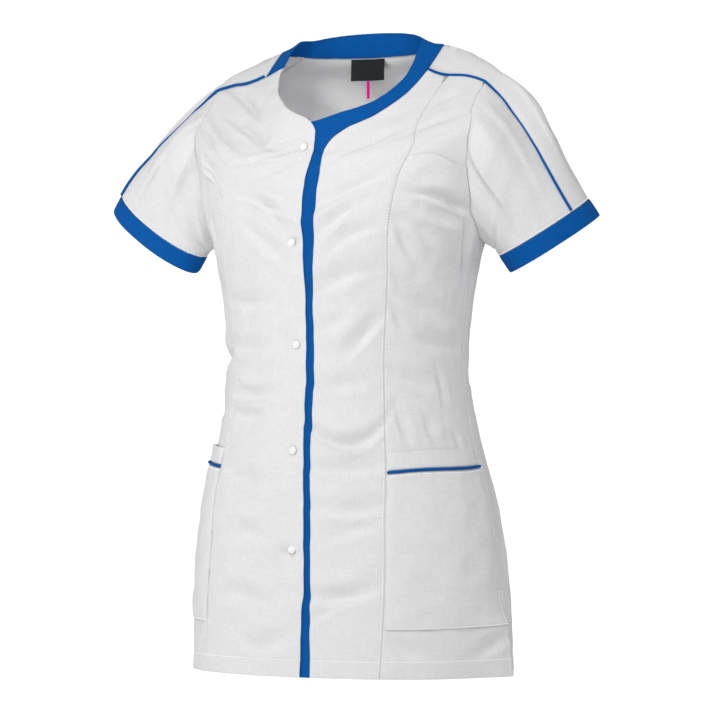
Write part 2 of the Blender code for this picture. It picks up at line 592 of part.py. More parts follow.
def cuff(side, spec_colour):
    """Blue cuff, a short tube on the end of the sleeve."""
    spec = dict(zip(SLEEVE_COLUMNS, SLEEVES[side]))
    axis = unit(np.array(spec["axis"]))
    up = unit(np.array((0.0, 0.0, 1.0)) - axis * axis[2])
    forward = spec["sign"] * unit(np.cross(axis, (0.0, 0.0, 1.0)))
    turn = np.radians(np.linspace(0.0, 360.0, CUFF_SEGMENTS + 1)[:-1])[:, None]
    ring = up * spec["half_up"] * np.cos(turn) + forward * spec["half_wide"] * np.sin(turn)
    outward = unit(up * np.cos(turn) / spec["half_up"] + forward * np.sin(turn) / spec["half_wide"])
    levels = np.array((-CUFF_WIDTH / 2 + 2 * SEAM_HALF, 0.0, CUFF_WIDTH / 2))
    outer = np.array(spec["centre"]) + ring[None] + axis * levels[:, None, None]
    return wall("cuff_" + side, outer - outward[None] * WALL, outer, spec_colour, closed=True)


def cord(name, points, radius, spec):
    """Round cord along a line of points."""
    curve = bpy.data.curves.new(name, "CURVE")
    curve.dimensions = "3D"
    curve.bevel_depth = radius
    curve.bevel_resolution = 2
    curve.use_fill_caps = True
    spline = curve.splines.new("POLY")
    spline.points.add(len(points) - 1)
    for point, place in zip(spline.points, points):
        point.co = (*place, 1.0)
    made = bpy.data.objects.new(name, curve)
    bpy.context.scene.collection.objects.link(made)
    return finish(made, spec)


# Sleeves: a front piece to the underarm seam, and a back piece cut in one with the shoulder
for side in SLEEVES:
    sign = SLEEVES[side][0]
    points, normals, angle, t = sleeve(side)
    front = np.concatenate([points[:, BACK_CELLS:], points[:, :1]], axis=1)
    front_normals = np.concatenate([normals[:, BACK_CELLS:], normals[:, :1]], axis=1)
    outer = front + inset(front, SEAM_HALF, PIPING_SEAM_HALF, ARMHOLE_HALF, SEAM_HALF)
    wall("sleeve_front_" + side, outer - front_normals * WALL, outer, WHITE)

    step = np.linspace(1.0, 0.0, SHOULDER_ROWS + 1)[:-1, None]
    lead = angle[: BACK_CELLS + 1]
    base_t = t[: BACK_CELLS + 1]
    across = np.clip(np.arange(BACK_CELLS + 1) / RAGLAN_CELLS, 0.0, 1.0)
    neck_angle = SHOULDER_ANGLE + (RAGLAN_NECK_ANGLE - SHOULDER_ANGLE) * across
    up_t = base_t + (NECK_T - base_t) * step
    up_angle = lead + (neck_angle - lead) * step
    mend = smooth(PIPING_LINE, up_t[:, :1]) - up_angle[:, :1]
    up_angle = (up_angle + mend * (1 - across)) * sign
    upper = body(up_angle, up_t)
    upper_normals = body_normal(up_angle, up_t)
    upper = upper + upper_normals * folds(up_angle, up_t)[..., None]
    whole = np.concatenate([upper, points[:, : BACK_CELLS + 1]])
    whole_normals = np.concatenate([upper_normals, normals[:, : BACK_CELLS + 1]])
    keep = np.ones((whole.shape[0] - 1, BACK_CELLS), bool)
    keep[:SHOULDER_ROWS, RAGLAN_CELLS:] = False
    shift = inset(whole, PIPING_SEAM_HALF, SEAM_HALF, SEAM_HALF, SEAM_HALF)
    edge = RAGLAN_CELLS
    inward = unit(whole[: SHOULDER_ROWS + 1, edge - 1] - whole[: SHOULDER_ROWS + 1, edge])
    shift[: SHOULDER_ROWS + 1, edge] += inward * SEAM_HALF
    down = unit(whole[SHOULDER_ROWS + 1, edge:] - whole[SHOULDER_ROWS, edge:])
    shift[SHOULDER_ROWS, edge:] += down * SEAM_HALF
    outer = whole + shift
    wall("sleeve_back_" + side, outer - whole_normals * WALL, outer, WHITE, keep=keep)

    cuff(side, BLUE)

    heights = np.linspace(NECK_T - PIPING_NECK_GAP_T, TIP_T, 11)[:-1]
    ahead = sign * smooth(PIPING_LINE, heights)
    depth = (folds(ahead, heights) - WALL / 2)[:, None]
    shoulder = body(ahead, heights) + body_normal(ahead, heights) * depth
    along = points[:, 0] - normals[:, 0] * WALL / 2
    along[-1] += unit(along[-2] - along[-1]) * PIPING_CUFF_GAP
    cord("shoulder_piping_" + side, np.concatenate([shoulder, along]), PIPING_RADIUS, BLUE)

# Hip pockets between princess and side seam: bag, blue piping and the turned band above it
for side, mouth_t, gape in POCKETS:
    sign = SLEEVES[side][0]
    table = PRINCESS_LEFT if side == "left" else PRINCESS_RIGHT
    share = np.linspace(0.0, 1.0, 9)[None, :]
    lower = mouth_t - POCKET_BAND_T
    spans = (
        ("pocket_", POCKET_BOTTOM_T, lower - POCKET_PIPING_T, 9, WHITE, 0.0),
        ("pocket_piping_", lower - POCKET_PIPING_T, lower, 1, BLUE, POCKET_PIPING_RAISE),
        ("pocket_top_", lower, mouth_t, 2, WHITE, 0.0),
    )
    for name, low, high, count, colour, raise_by in spans:
        t = np.linspace(low, high, count + 1)[:, None]
        t = t + POCKET_RISE_T * share * np.clip((t - POCKET_BOTTOM_T) / 0.2, 0.0, 1.0)
        start = smooth(table, t) + POCKET_SIDE_ANGLE
        angle = sign * (start * (1 - share) + (90.0 - POCKET_SIDE_ANGLE) * share)
        climb = np.clip((t - POCKET_BOTTOM_T) / (mouth_t - POCKET_BOTTOM_T), 0.0, 1.0) ** 2
        swell = gape * climb * np.sin(math.pi * share) ** 0.8
        edges = (0.0, 0.0, SEAM_HALF, SEAM_HALF)
        panel(name + side, angle, t, colour, edges, lift=LAYER + raise_by + swell)

# Blank woven label hanging from the back neck seam, with a ribbon below it
for name, middle, half, drops, thick, colour in (
    ("label", LABEL_X, LABEL_HALF_WIDTH, LABEL_DROP, LABEL_THICK, CHARCOAL),
    ("label_ribbon", RIBBON_X, RIBBON_HALF_WIDTH, RIBBON_DROP, RIBBON_THICK, PINK),
):
    share = np.linspace(-1.0, 1.0, 7 if name == "label" else 3)
    top_t = np.full(share.shape, LABEL_TOP_T)
    edge = body(angle_at_x(middle + half * share, top_t, behind=True), top_t)
    drop = np.linspace(drops[1], drops[0], 4)[:, None]
    outer = edge[None] - np.array((0.0, WALL + LABEL_CLEAR, 0.0))
    outer = outer - drop[..., None] * np.array((0.0, 0.0, 1.0))
    wall(name, outer - np.array((0.0, thick, 0.0)), outer, colour)

# Five snap caps on the right front, down the centre line
for number, height in enumerate(SNAP_HEIGHTS_T, start=1):
    facing = Vector(body_normal(0.0, height))
    place = body_point(0.0, height, FRONT_LAYER + SNAP_CLEAR + SNAP_HEIGHT / 2)
    bpy.ops.mesh.primitive_cylinder_add(vertices=16, radius=SNAP_RADIUS, depth=SNAP_HEIGHT, location=place)
    snap = bpy.context.object
    snap.name = f"snap_{number}"
    snap.rotation_euler = facing.to_track_quat("Z", "Y").to_euler()
    bevel = snap.modifiers.new("rounded_edge", "BEVEL")
    bevel.width = SNAP_HEIGHT * 0.4
    bevel.segments = 1
    bevel.limit_method = "ANGLE"
    bpy.ops.object.shade_smooth()
    snap.data.set_sharp_from_angle(angle=math.radians(40))
    snap.select_set(False)
    finish(snap, PEARL)
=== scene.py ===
import math

import bpy
import numpy as np
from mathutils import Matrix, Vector


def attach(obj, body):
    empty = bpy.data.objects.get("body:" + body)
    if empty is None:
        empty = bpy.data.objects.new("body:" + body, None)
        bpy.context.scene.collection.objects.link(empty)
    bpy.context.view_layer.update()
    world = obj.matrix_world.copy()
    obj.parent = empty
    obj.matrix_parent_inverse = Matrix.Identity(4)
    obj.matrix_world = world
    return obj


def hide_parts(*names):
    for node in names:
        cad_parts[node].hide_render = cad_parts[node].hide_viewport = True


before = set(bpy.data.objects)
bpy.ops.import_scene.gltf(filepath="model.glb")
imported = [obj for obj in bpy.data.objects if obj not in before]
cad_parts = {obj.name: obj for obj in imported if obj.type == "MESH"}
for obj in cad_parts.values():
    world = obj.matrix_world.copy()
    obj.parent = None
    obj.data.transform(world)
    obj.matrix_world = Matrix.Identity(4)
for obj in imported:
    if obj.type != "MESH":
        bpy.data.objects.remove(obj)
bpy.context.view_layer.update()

# Back
# One panel of white poplin from the hem to the neck band, cut to the wearer's waist.
# It is sewn to the side fronts at the sides and to the shoulder pieces by raglan seams.
WALL = 0.0012
RING_COLUMNS = (
    "side_x", "side_y", "side_z", "front_y", "front_z", "back_y", "back_z",
    "front_p", "front_q", "back_p", "back_q", "tilt",
)
RINGS = {
    "hem": (0.209, 0.008, -0.751, -0.144, -0.743, 0.146, -0.7525, 2.3, 2.3, 2.3, 2.3, 0.030),
    "low": (0.206, 0.008, -0.640, -0.141, -0.640, 0.126, -0.640, 2.3, 2.3, 2.3, 2.3, 0.012),
    "hip": (0.192, 0.006, -0.540, -0.139, -0.540, 0.114, -0.540, 2.25, 2.25, 2.3, 2.3, 0.0),
    "high_hip": (0.169, 0.004, -0.455, -0.135, -0.455, 0.106, -0.455, 2.2, 2.2, 2.3, 2.3, 0.0),
    "waist": (0.1575, 0.002, -0.365, -0.128, -0.365, 0.084, -0.365, 2.2, 2.2, 2.3, 2.3, 0.0),
    "under_bust": (0.164, 0.002, -0.290, -0.130, -0.290, 0.088, -0.290, 2.2, 2.2, 2.3, 2.3, 0.0),
    "bust": (0.176, 0.002, -0.225, -0.138, -0.220, 0.102, -0.220, 2.2, 2.2, 2.3, 2.3, 0.0),
    "armpit": (0.188, 0.003, -0.190, -0.136, -0.185, 0.112, -0.170, 2.2, 2.2, 2.4, 2.4, 0.0),
    "chest": (0.205, 0.006, -0.120, -0.127, -0.145, 0.122, -0.110, 2.2, 2.2, 2.4, 2.4, 0.0),
    "shoulder": (0.212, 0.012, -0.026, -0.117, -0.118, 0.115, -0.050, 2.2, 2.3, 2.4, 2.4, 0.0),
    "slope": (0.165, 0.026, 0.006, -0.111, -0.106, 0.093, -0.005, 1.9, 2.5, 2.3, 2.5, 0.0),
    "neck": (0.118, 0.028, 0.028, -0.107, -0.088, 0.062, 0.019, 1.7, 3.0, 2.0, 2.0, 0.0),
    "top": (0.089, 0.010, 0.027, -0.102, -0.066, 0.055, 0.049, 1.5, 2.6, 2.2, 3.0, 0.0),
}
ARMHOLE_BACK = (
    (0.670, 91), (0.690, 98), (0.720, 105), (0.760, 110), (0.800, 112), (0.845, 108),
    (0.862, 101), (0.873, 93), (0.880, 83),
)
ARMPIT_T = 0.670
TIP_T = 0.880
RAGLAN_T = 0.845
RAGLAN_NECK_ANGLE = 125.0
SHOULDER_ANGLE = 81.0
VENT_TOP_T = 0.125
VENT_ANGLE = 0.6

# Folds: angle from the front centre, height, half length, half width, slope, depth (a roll is above zero), bend
FOLD_COLUMNS = ("turn", "height", "half_length", "half_width", "slope", "depth", "bend")
BODY_RADIUS = 0.17
BODY_LENGTH = 0.86
BODY_FOLDS = (
    (22, 0.354, 0.041, 0.008, 0, -0.0099, 0.46), (17, 0.442, 0.031, 0.009, -0.03, -0.0056, 0.13),
    (19, 0.316, 0.038, 0.009, 0, -0.0056, 0.16), (19, 0.256, 0.039, 0.009, 0, -0.0052, 0.2),
    (20, 0.228, 0.027, 0.01, 0.39, -0.0034, -0.12), (17, 0.126, 0.03, 0.009, 0.19, -0.0073, 0.15),
    (10, 0.102, 0.018, 0.005, 0.75, -0.0021, -0.13), (29, 0.514, 0.032, 0.009, 0.98, -0.0056, 0.05),
    (19, 0.602, 0.037, 0.01, 0.41, -0.0034, -0.08), (15, 0.534, 0.021, 0.008, 0.37, -0.0028, 0.06),
    (15, 0.692, 0.031, 0.008, 1.24, -0.0065, -0.04), (17, 0.748, 0.042, 0.009, 0.9, -0.0047, 0),
    (23, 0.668, 0.031, 0.009, 0.61, -0.0039, -0.11), (-7, 0.698, 0.036, 0.008, -1.35, -0.0094, 0.01),
    (-12, 0.726, 0.033, 0.008, -0.47, -0.0057, 0), (-12, 0.654, 0.033, 0.009, -0.92, -0.0057, 0.05),
    (-39, 0.926, 0.052, 0.011, -0.03, -0.007, -0.24), (-65, 0.946, 0.056, 0.009, 0.47, -0.0068, -0.22),
    (-12, 0.862, 0.048, 0.005, 1.36, -0.0039, 0.18), (-18, 0.926, 0.029, 0.005, 1.58, -0.0025, -0.33),
    (-7, 0.81, 0.031, 0.006, 1.34, -0.0023, 0.16), (-47, 0.856, 0.045, 0.006, -0.37, -0.0048, -0.27),
    (-47, 0.792, 0.024, 0.006, -0.97, 0.0048, 0.11), (-48, 0.886, 0.049, 0.007, -0.07, -0.0033, -0.15),
    (58, 0.732, 0.041, 0.0065, -0.27, -0.0086, 0), (69, 0.718, 0.018, 0.005, -0.34, -0.0061, 0.04),
    (60, 0.704, 0.037, 0.009, -0.35, -0.0056, 0.09), (46, 0.66, 0.03, 0.007, -1.5, -0.0044, 0.06),
    (51, 0.682, 0.029, 0.008, -0.68, -0.0039, -0.1), (81, 0.662, 0.033, 0.006, -3.77, -0.0045, -0.08),
    (45, 0.598, 0.016, 0.006, -1.33, -0.0027, 0.12), (46, 0.544, 0.021, 0.006, -1.59, -0.0027, 0.07),
    (62, 0.556, 0.045, 0.009, -0.48, -0.0047, 0.03), (69, 0.504, 0.043, 0.009, -0.17, -0.0034, 0.07),
    (72, 0.442, 0.02, 0.0055, -4.64, -0.0024, -0.08), (53, 0.452, 0.031, 0.009, -0.36, -0.0039, 0.02),
    (47, 0.388, 0.027, 0.005, -4.64, -0.0033, -0.01), (50, 0.378, 0.02, 0.005, -6.96, -0.0021, 0),
    (78, 0.364, 0.013, 0.005, -2.9, -0.0019, -0.08), (62, 0.378, 0.022, 0.007, -2.9, -0.0026, 0.07),
    (54, 0.878, 0.032, 0.0055, -0.24, -0.0024, -0.1), (50, 0.844, 0.027, 0.0055, 0.09, -0.0019, -0.21),
    (68, 0.906, 0.024, 0.0055, -0.5, -0.0017, -0.06), (31, 0.898, 0.034, 0.008, 0.3, -0.0034, -0.16),
    (12, 0.856, 0.034, 0.005, 1.74, -0.0016, -0.21), (-24, 0.424, 0.041, 0.009, 0.02, -0.0087, 0.1),
    (-25, 0.392, 0.037, 0.008, -0.02, -0.0062, 0.1), (-21, 0.456, 0.038, 0.009, 0.02, -0.0043, 0.18),
    (-28, 0.564, 0.041, 0.009, -0.06, -0.0041, 0.09), (-27, 0.498, 0.048, 0.009, 0.02, -0.0038, 0.12),
    (-23, 0.298, 0.033, 0.01, -0.23, -0.0049, 0.1), (-18, 0.214, 0.034, 0.011, 0.07, -0.0046, -0.11),
    (-2, 0.188, 0.013, 0.008, -1.62, -0.0068, -0.15), (-19, 0.124, 0.028, 0.01, 0.03, -0.0049, -0.19),
    (-49, 0.66, 0.032, 0.006, 3.67, -0.0052, 0.17), (39, 0.046, 0.02, 0.009, -0.79, -0.0047, 0.16),
    (82, 0.048, 0.024, 0.008, 0.54, -0.006, 0.03), (-9, 0.042, 0.024, 0.011, 0.07, -0.0049, 0.46),
    (-44, 0.036, 0.018, 0.005, 0.75, -0.0041, 0.13), (-72, 0.6, 0.05, 0.01, 1.5, -0.0068, 0),
    (-66, 0.47, 0.05, 0.011, 0.3, -0.0094, 0.05), (-74, 0.41, 0.04, 0.01, -0.3, -0.0087, 0),
    (-56, 0.7, 0.045, 0.009, 2.2, -0.0075, 0.1), (150, 0.44, 0.058, 0.012, 0.12, -0.0036, 0.14),
    (-160, 0.492, 0.062, 0.013, -0.16, -0.0032, 0.08), (-140, 0.404, 0.046, 0.011, 0.22, -0.003, -0.06),
    (172, 0.392, 0.052, 0.01, -0.1, -0.0028, 0.2), (118, 0.462, 0.04, 0.011, 0.35, -0.0028, 0),
    (-112, 0.47, 0.042, 0.011, -0.4, -0.0026, 0), (140, 0.53, 0.044, 0.011, 0.5, -0.0018, 0),
    (-128, 0.56, 0.05, 0.012, -0.62, -0.002, 0), (122, 0.72, 0.046, 0.012, 0.9, -0.0034, 0.08),
    (-124, 0.715, 0.048, 0.012, -0.8, -0.0034, -0.05), (136, 0.665, 0.044, 0.011, 0.7, -0.0022, 0),
    (-138, 0.655, 0.04, 0.01, -0.6, -0.002, 0), (160, 0.89, 0.05, 0.013, -0.3, -0.0018, 0),
    (-150, 0.88, 0.044, 0.012, 0.36, -0.002, 0), (176, 0.82, 0.046, 0.014, 5, -0.0016, 0),
    (128, 0.16, 0.12, 0.022, 9, -0.0036, 0), (158, 0.13, 0.13, 0.024, 12, -0.0028, 0),
    (-168, 0.17, 0.14, 0.023, 14, -0.0032, 0), (-132, 0.14, 0.12, 0.021, -9, -0.0038, 0),
    (-108, 0.19, 0.11, 0.02, -9, -0.0024, 0), (100, 0.21, 0.1, 0.018, 7, -0.0026, 0),
)
# Fullness over the shoulders: angle, height, half width, half height and rise
EASE = ((88, 0.905, 0.060, 0.034, 0.0056), (-84, 0.900, 0.055, 0.026, 0.0068))
SNAP_HEIGHTS_T = (0.925, 0.657, 0.506, 0.347, 0.198)
SNAP_DIMPLE = 0.0011
SNAP_DIMPLE_REACH = 0.0085
HEM_STITCH = 0.0212
SEAM_STITCH = 0.0026
BACK_VENT_STITCH = 0.0065
VENT_STITCHED_T = 0.135
SIDES = ("left", "right", "bottom", "top")
# Fine waves of washed cloth: length, direction and height
RIPPLES = (
    (0.062, 0.26, 0.00036), (0.047, 1.75, 0.00030), (0.034, 1.05, 0.00020), (0.027, 2.45, 0.00014),
    (0.019, 0.6, 0.00009),
)


def smooth(table, x):
    """Smooth curve through a table of two columns, without overshoot."""
    xs = np.array([row[0] for row in table], float)
    ys = np.array([row[1] for row in table], float)
    x = np.clip(np.asarray(x, float), xs[0], xs[-1])
    slope = np.diff(ys) / np.diff(xs)
    product = slope[1:] * slope[:-1]
    total = np.where(product > 0, slope[1:] + slope[:-1], 1.0)
    inner = np.where(product > 0, 2 * product / total, 0.0)
    tangent = np.concatenate([[slope[0]], inner, [slope[-1]]])
    k = np.clip(np.searchsorted(xs, x, side="right") - 1, 0, len(xs) - 2)
    step = xs[k + 1] - xs[k]
    w = (x - xs[k]) / step
    rise = (3 * w**2 - 2 * w**3) * (ys[k + 1] - ys[k])
    return ys[k] + rise + step * ((w**3 - 2 * w**2 + w) * tangent[k] + (w**3 - w**2) * tangent[k + 1])


def eased(x):
    """Share that starts and ends gently."""
    return x * x * (3 - 2 * x)


def hermite(w, start, end, leave, arrive):
    """Point on a curve between two points with given ways out and in."""
    curve = (2 * w**3 - 3 * w**2 + 1) * start + (3 * w**2 - 2 * w**3) * end
    return curve + (w**3 - 2 * w**2 + w) * leave + (w**3 - w**2) * arrive


def run_of(points):
    """Length covered at each point of a line."""
    return np.concatenate([[0.0], np.cumsum(np.linalg.norm(np.diff(points, axis=0), axis=1))])


def along_run(lengths, run, line):
    """Values of a line at lengths along its run."""
    return np.stack([np.interp(lengths, run, line[:, k]) for k in range(3)], -1)


def turned_from(turn, centre):
    """Angle in radians from a centre angle in degrees, the short way round."""
    return np.radians((turn - centre + 180.0) % 360.0 - 180.0)


def unit(vectors):
    """Vectors of length one."""
    length = np.linalg.norm(vectors, axis=-1, keepdims=True)
    return vectors / np.maximum(length, 1e-12)


def ring_points(angle):
    """Points of every ring at one angle, in degrees from the front centre."""
    phi = np.radians(np.asarray(angle, float))
    s = np.where(np.abs(np.sin(phi)) < 1e-12, 0.0, np.sin(phi))
    c = np.where(np.abs(np.cos(phi)) < 1e-12, 0.0, np.cos(phi))
    front = c >= 0
    rows = []
    for values in RINGS.values():
        ring = dict(zip(RING_COLUMNS, values))
        reach = np.where(front, np.abs(s) ** (2 / ring["front_p"]), np.abs(s) ** (2 / ring["back_p"]))
        lean = np.where(front, np.abs(c) ** (2 / ring["front_q"]), np.abs(c) ** (2 / ring["back_q"]))
        x = np.sign(s) * ring["side_x"] * reach
        end_y = np.where(front, ring["front_y"], ring["back_y"])
        end_z = np.where(front, ring["front_z"], ring["back_z"])
        y = ring["side_y"] + lean * (end_y - ring["side_y"])
        z = ring["side_z"] + lean * (end_z - ring["side_z"]) + ring["tilt"] * x
        rows.append(np.stack([x, y, z], -1))
    return np.array(rows)


ring_path = ring_points(np.arange(0, 360, 5))
ring_steps = np.linalg.norm(np.diff(ring_path, axis=0), axis=-1).mean(1)
HEIGHTS = np.concatenate([[0.0], np.cumsum(ring_steps)]) / ring_steps.sum()
NECK_T = float(HEIGHTS[-2])


def body(angle, t):
    """Point of the smooth body at an angle and a height t, zero at the hem and one at the neck edge."""
    angle, t = np.broadcast_arrays(np.asarray(angle, float), np.asarray(t, float))
    points = ring_points(angle)
    last = len(HEIGHTS) - 1
    tangents = np.empty_like(points)
    tangents[0] = (points[1] - points[0]) / (HEIGHTS[1] - HEIGHTS[0])
    tangents[last] = (points[last] - points[last - 1]) / (HEIGHTS[last] - HEIGHTS[last - 1])
    for i in range(1, last):
        before = HEIGHTS[i] - HEIGHTS[i - 1]
        after = HEIGHTS[i + 1] - HEIGHTS[i]
        down = (points[i] - points[i - 1]) / before
        rise = (points[i + 1] - points[i]) / after
        tangents[i] = (down * after + rise * before) / (before + after)
    k = np.clip(np.searchsorted(HEIGHTS, t, side="right") - 1, 0, last - 1)
    step = (HEIGHTS[k + 1] - HEIGHTS[k])[..., None]
    w = ((t - HEIGHTS[k])[..., None]) / step

    def pick(array, index):
        chosen = np.repeat(index[None, ..., None], 3, axis=-1)
        return np.take_along_axis(array, chosen, 0)[0]

    start, end = pick(points, k), pick(points, k + 1)
    leave, arrive = pick(tangents, k), pick(tangents, k + 1)
    return hermite(w, start, end, step * leave, step * arrive)


def body_normal(angle, t):
    """Outward normal of the smooth body."""
    low = np.maximum(np.asarray(t, float) - 0.003, 0.0)
    high = np.minimum(np.asarray(t, float) + 0.003, 1.0)
    across = body(np.asarray(angle, float) + 1.5, t) - body(np.asarray(angle, float) - 1.5, t)
    return unit(np.cross(across, body(angle, high) - body(angle, low)))


def folds(table, turn, height, radius, length):
    """Height of the soft folds of a table, each a trough, gentle above and steep below, between low rolls."""
    total = np.zeros(np.broadcast(turn, height).shape)
    for values in table:
        fold = dict(zip(FOLD_COLUMNS, values))
        u = turned_from(turn, fold["turn"]) * radius
        v = (height - fold["height"]) * length
        lean = math.hypot(1.0, fold["slope"])
        along = (u + fold["slope"] * v) / lean
        across = (v - fold["slope"] * u) / lean - fold["bend"] * along**2 / fold["half_length"]
        x = across / fold["half_width"]
        x = x / (1.0 + 0.42 * np.tanh(1.5 * x))
        section = np.exp(-(x**2)) - 0.32 * np.exp(-((x - 1.8) ** 2)) - 0.18 * np.exp(-((x + 1.9) ** 2))
        total += fold["depth"] * section * np.exp(-((along / fold["half_length"]) ** 2))
    return total


def ripple(turn, height, radius, length):
    """Fine unevenness of washed cloth."""
    u = np.radians(turn) * radius
    v = height * length
    total = np.zeros(np.broadcast(turn, height).shape)
    for k, (wave, way, size) in enumerate(RIPPLES):
        ahead = u * math.cos(way) + v * math.sin(way)
        aside = v * math.cos(way) - u * math.sin(way)
        bent = ahead + 0.25 * wave * np.sin(2 * math.pi * aside / (1.7 * wave) + k)
        total += size * np.sin(2 * math.pi * bent / wave + 2.4 * k) * (0.6 + 0.4 * np.sin(aside / wave + k))
    return total


def relief(angle, t):
    """Height of the worn body's cloth above the smooth form."""
    broad = sum(
        rise
        * np.exp(-((turned_from(angle, turn) * BODY_RADIUS / half_width) ** 2))
        * np.exp(-(((t - height) * BODY_LENGTH / half_height) ** 2))
        for turn, height, half_width, half_height, rise in EASE
    )
    for height in SNAP_HEIGHTS_T:
        away = np.hypot(np.radians(angle) * BODY_RADIUS, (t - height) * BODY_LENGTH)
        broad = broad - SNAP_DIMPLE * np.exp(-((away / SNAP_DIMPLE_REACH) ** 2))
    creased = folds(BODY_FOLDS, angle, t, BODY_RADIUS, BODY_LENGTH)
    return broad + creased + ripple(angle, t, BODY_RADIUS, BODY_LENGTH)


def turned(grid, side):
    """Grid seen from one of its sides."""
    if side == "left":
        return grid
    if side == "right":
        return grid[:, ::-1]
    if side == "bottom":
        return np.swapaxes(grid, 0, 1)
    return np.swapaxes(grid[::-1], 0, 1)


def turned_back(grid, side):
    """Grid turned back from the view of one of its sides."""
    return np.swapaxes(grid, 0, 1)[::-1] if side == "top" else turned(grid, side)


def distances(points, side):
    """Distance of every grid point from a side, and its place along that side."""
    grid = turned(points, side)
    steps = np.linalg.norm(np.diff(grid, axis=1), axis=2)
    away = np.concatenate([np.zeros((len(grid), 1)), np.cumsum(steps, axis=1)], axis=1)
    along = run_of(grid[:, 0])[:, None] + 0 * away
    return turned_back(away, side), turned_back(along, side)


def edge_relief(points, edges, kept=1.0):
    """Height given to cloth along its sides by seams, topstitching, hems and turned edges."""
    total = np.zeros(points.shape[:2])
    for side, kind in zip(SIDES, edges):
        if kind == "open":
            continue
        away, along = distances(points, side)
        pull = np.sin(along / 0.0013 + 2.1 * np.sin(along / 0.0061)) * (0.6 + 0.4 * np.sin(along / 0.017))
        if kind in ("seam", "stitched"):
            total -= 0.0009 * np.exp(-((away / 0.0010) ** 2))
        if kind == "fold":
            total -= 0.0005 * np.exp(-((away / 0.0009) ** 2))
        if kind == "stitched":
            total -= 0.0003 * np.exp(-(((away - SEAM_STITCH) / 0.0009) ** 2))
            total += kept * 0.00022 * pull * np.exp(-((away / 0.0065) ** 2))
        if kind == "hem":
            total += 0.0004 * eased(np.clip((0.0224 - away) / 0.0016, 0.0, 1.0))
            total -= 0.0004 * np.exp(-(((away - HEM_STITCH) / 0.0010) ** 2))
            total -= 0.0005 * np.exp(-((away / 0.0009) ** 2))
            total += kept * 0.00026 * pull * np.exp(-(((away - 0.0190) / 0.0090) ** 2))
    return total


def painted_seam_shade(points, edges):
    """Share of painted shade along the cloth's sides: in the seam lines, at the stitch rows of topstitching and hems,
    and less of it along turned edges.
    """
    total = np.zeros(points.shape[:2])
    for side, kind in zip(SIDES, edges):
        if kind == "open":
            continue
        away = distances(points, side)[0]
        if kind in ("seam", "stitched"):
            total += 0.60 * np.exp(-((away / 0.0007) ** 2))
        if kind == "stitched":
            total += 0.22 * np.exp(-(((away - SEAM_STITCH) / 0.0009) ** 2))
        if kind == "hem":
            total += 0.25 * np.exp(-(((away - HEM_STITCH) / 0.0009) ** 2))
        if kind == "fold":
            total -= 0.25 * np.exp(-((away / 0.0012) ** 2))
    return np.clip(total, -0.25, 1.0)


def spread(length, step):
    """Shares of a rough length at a rough step, close together near both ends."""
    near = np.array((0.0, 0.0006, 0.0013, 0.0021, 0.0030, 0.0044))
    count = max(2, round((length - 2 * near[-1]) / step))
    middle = np.linspace(near[-1], length - near[-1], count + 1)[1:-1]
    return np.concatenate([near, middle, length - near[::-1]]) / length


def hem_spread(length, step):
    """Shares of a length, close together near both ends and at the hem's stitching."""
    shares = spread(length, step)
    extra = np.array((0.0190, 0.0200, 0.0208, 0.0216, 0.0226)) / length
    return np.unique(np.concatenate([shares[(shares < 0.0185 / length) | (shares > 0.0231 / length)], extra]))


def chosen(name, mesh):
    """New piece with a mesh, chosen for the next operators."""
    piece = bpy.data.objects.new(name, mesh)
    bpy.context.scene.collection.objects.link(piece)
    bpy.ops.object.select_all(action="DESELECT")
    bpy.context.view_layer.objects.active = piece
    piece.select_set(True)
    return piece


def mend_mesh(merge, outward):
    """Joins doubled points of the chosen piece, or turns its faces outward."""
    bpy.ops.object.mode_set(mode="EDIT")
    bpy.ops.mesh.select_all(action="SELECT")
    if merge:
        bpy.ops.mesh.remove_doubles(threshold=0.000001)
    if outward:
        bpy.ops.mesh.normals_make_consistent(inside=False)
    bpy.ops.object.mode_set(mode="OBJECT")


def cloth(name, outer, facing, edges, thick=WALL, closed=False, keep=None):
    """Thin shell on a grid of outer points, with its thread direction and the painted shade of its seams laid on it.
    """
    if closed:
        outer = np.concatenate([outer, outer[:, :1]], axis=1)
        facing = np.concatenate([facing, facing[:, :1]], axis=1)
    # painted shade along the seams and stitch rows, stored in the seams attribute
    tone = painted_seam_shade(outer, edges)
    rows, columns = outer.shape[:2]
    across = distances(outer, "left")[0]
    along = distances(outer, "bottom")[0]
    number = np.arange(rows * columns).reshape(rows, columns)
    faces = np.stack([number[:-1, :-1], number[:-1, 1:], number[1:, 1:], number[1:, :-1]], -1)
    faces = faces[keep] if keep is not None else faces.reshape(-1, 4)
    places = outer.reshape(-1, 3)
    first = np.cross(places[faces[:, 1]] - places[faces[:, 0]], places[faces[:, 3]] - places[faces[:, 0]])
    if np.sum(first * facing.reshape(-1, 3)[faces[:, 0]]) < 0:
        faces = faces[:, ::-1]
    used, packed = np.unique(faces, return_inverse=True)
    packed = packed.reshape(faces.shape)
    mesh = bpy.data.meshes.new(name)
    mesh.from_pydata(places[used].tolist(), [], packed.tolist())
    layer = mesh.uv_layers.new(name="thread")
    chart = np.stack([across.ravel(), along.ravel()], -1)[faces.ravel()]
    layer.data.foreach_set("uv", chart.ravel())
    mesh.attributes.new("seams", "FLOAT", "POINT").data.foreach_set("value", tone.ravel()[used])
    piece = chosen(name, mesh)
    if closed:
        mend_mesh(True, False)
    solid = piece.modifiers.new("wall", "SOLIDIFY")
    solid.thickness = thick
    solid.offset = -1.0
    bpy.ops.object.modifier_apply(modifier="wall")
    bpy.ops.object.shade_smooth_by_angle(angle=math.radians(50))
    piece.select_set(False)
    return piece


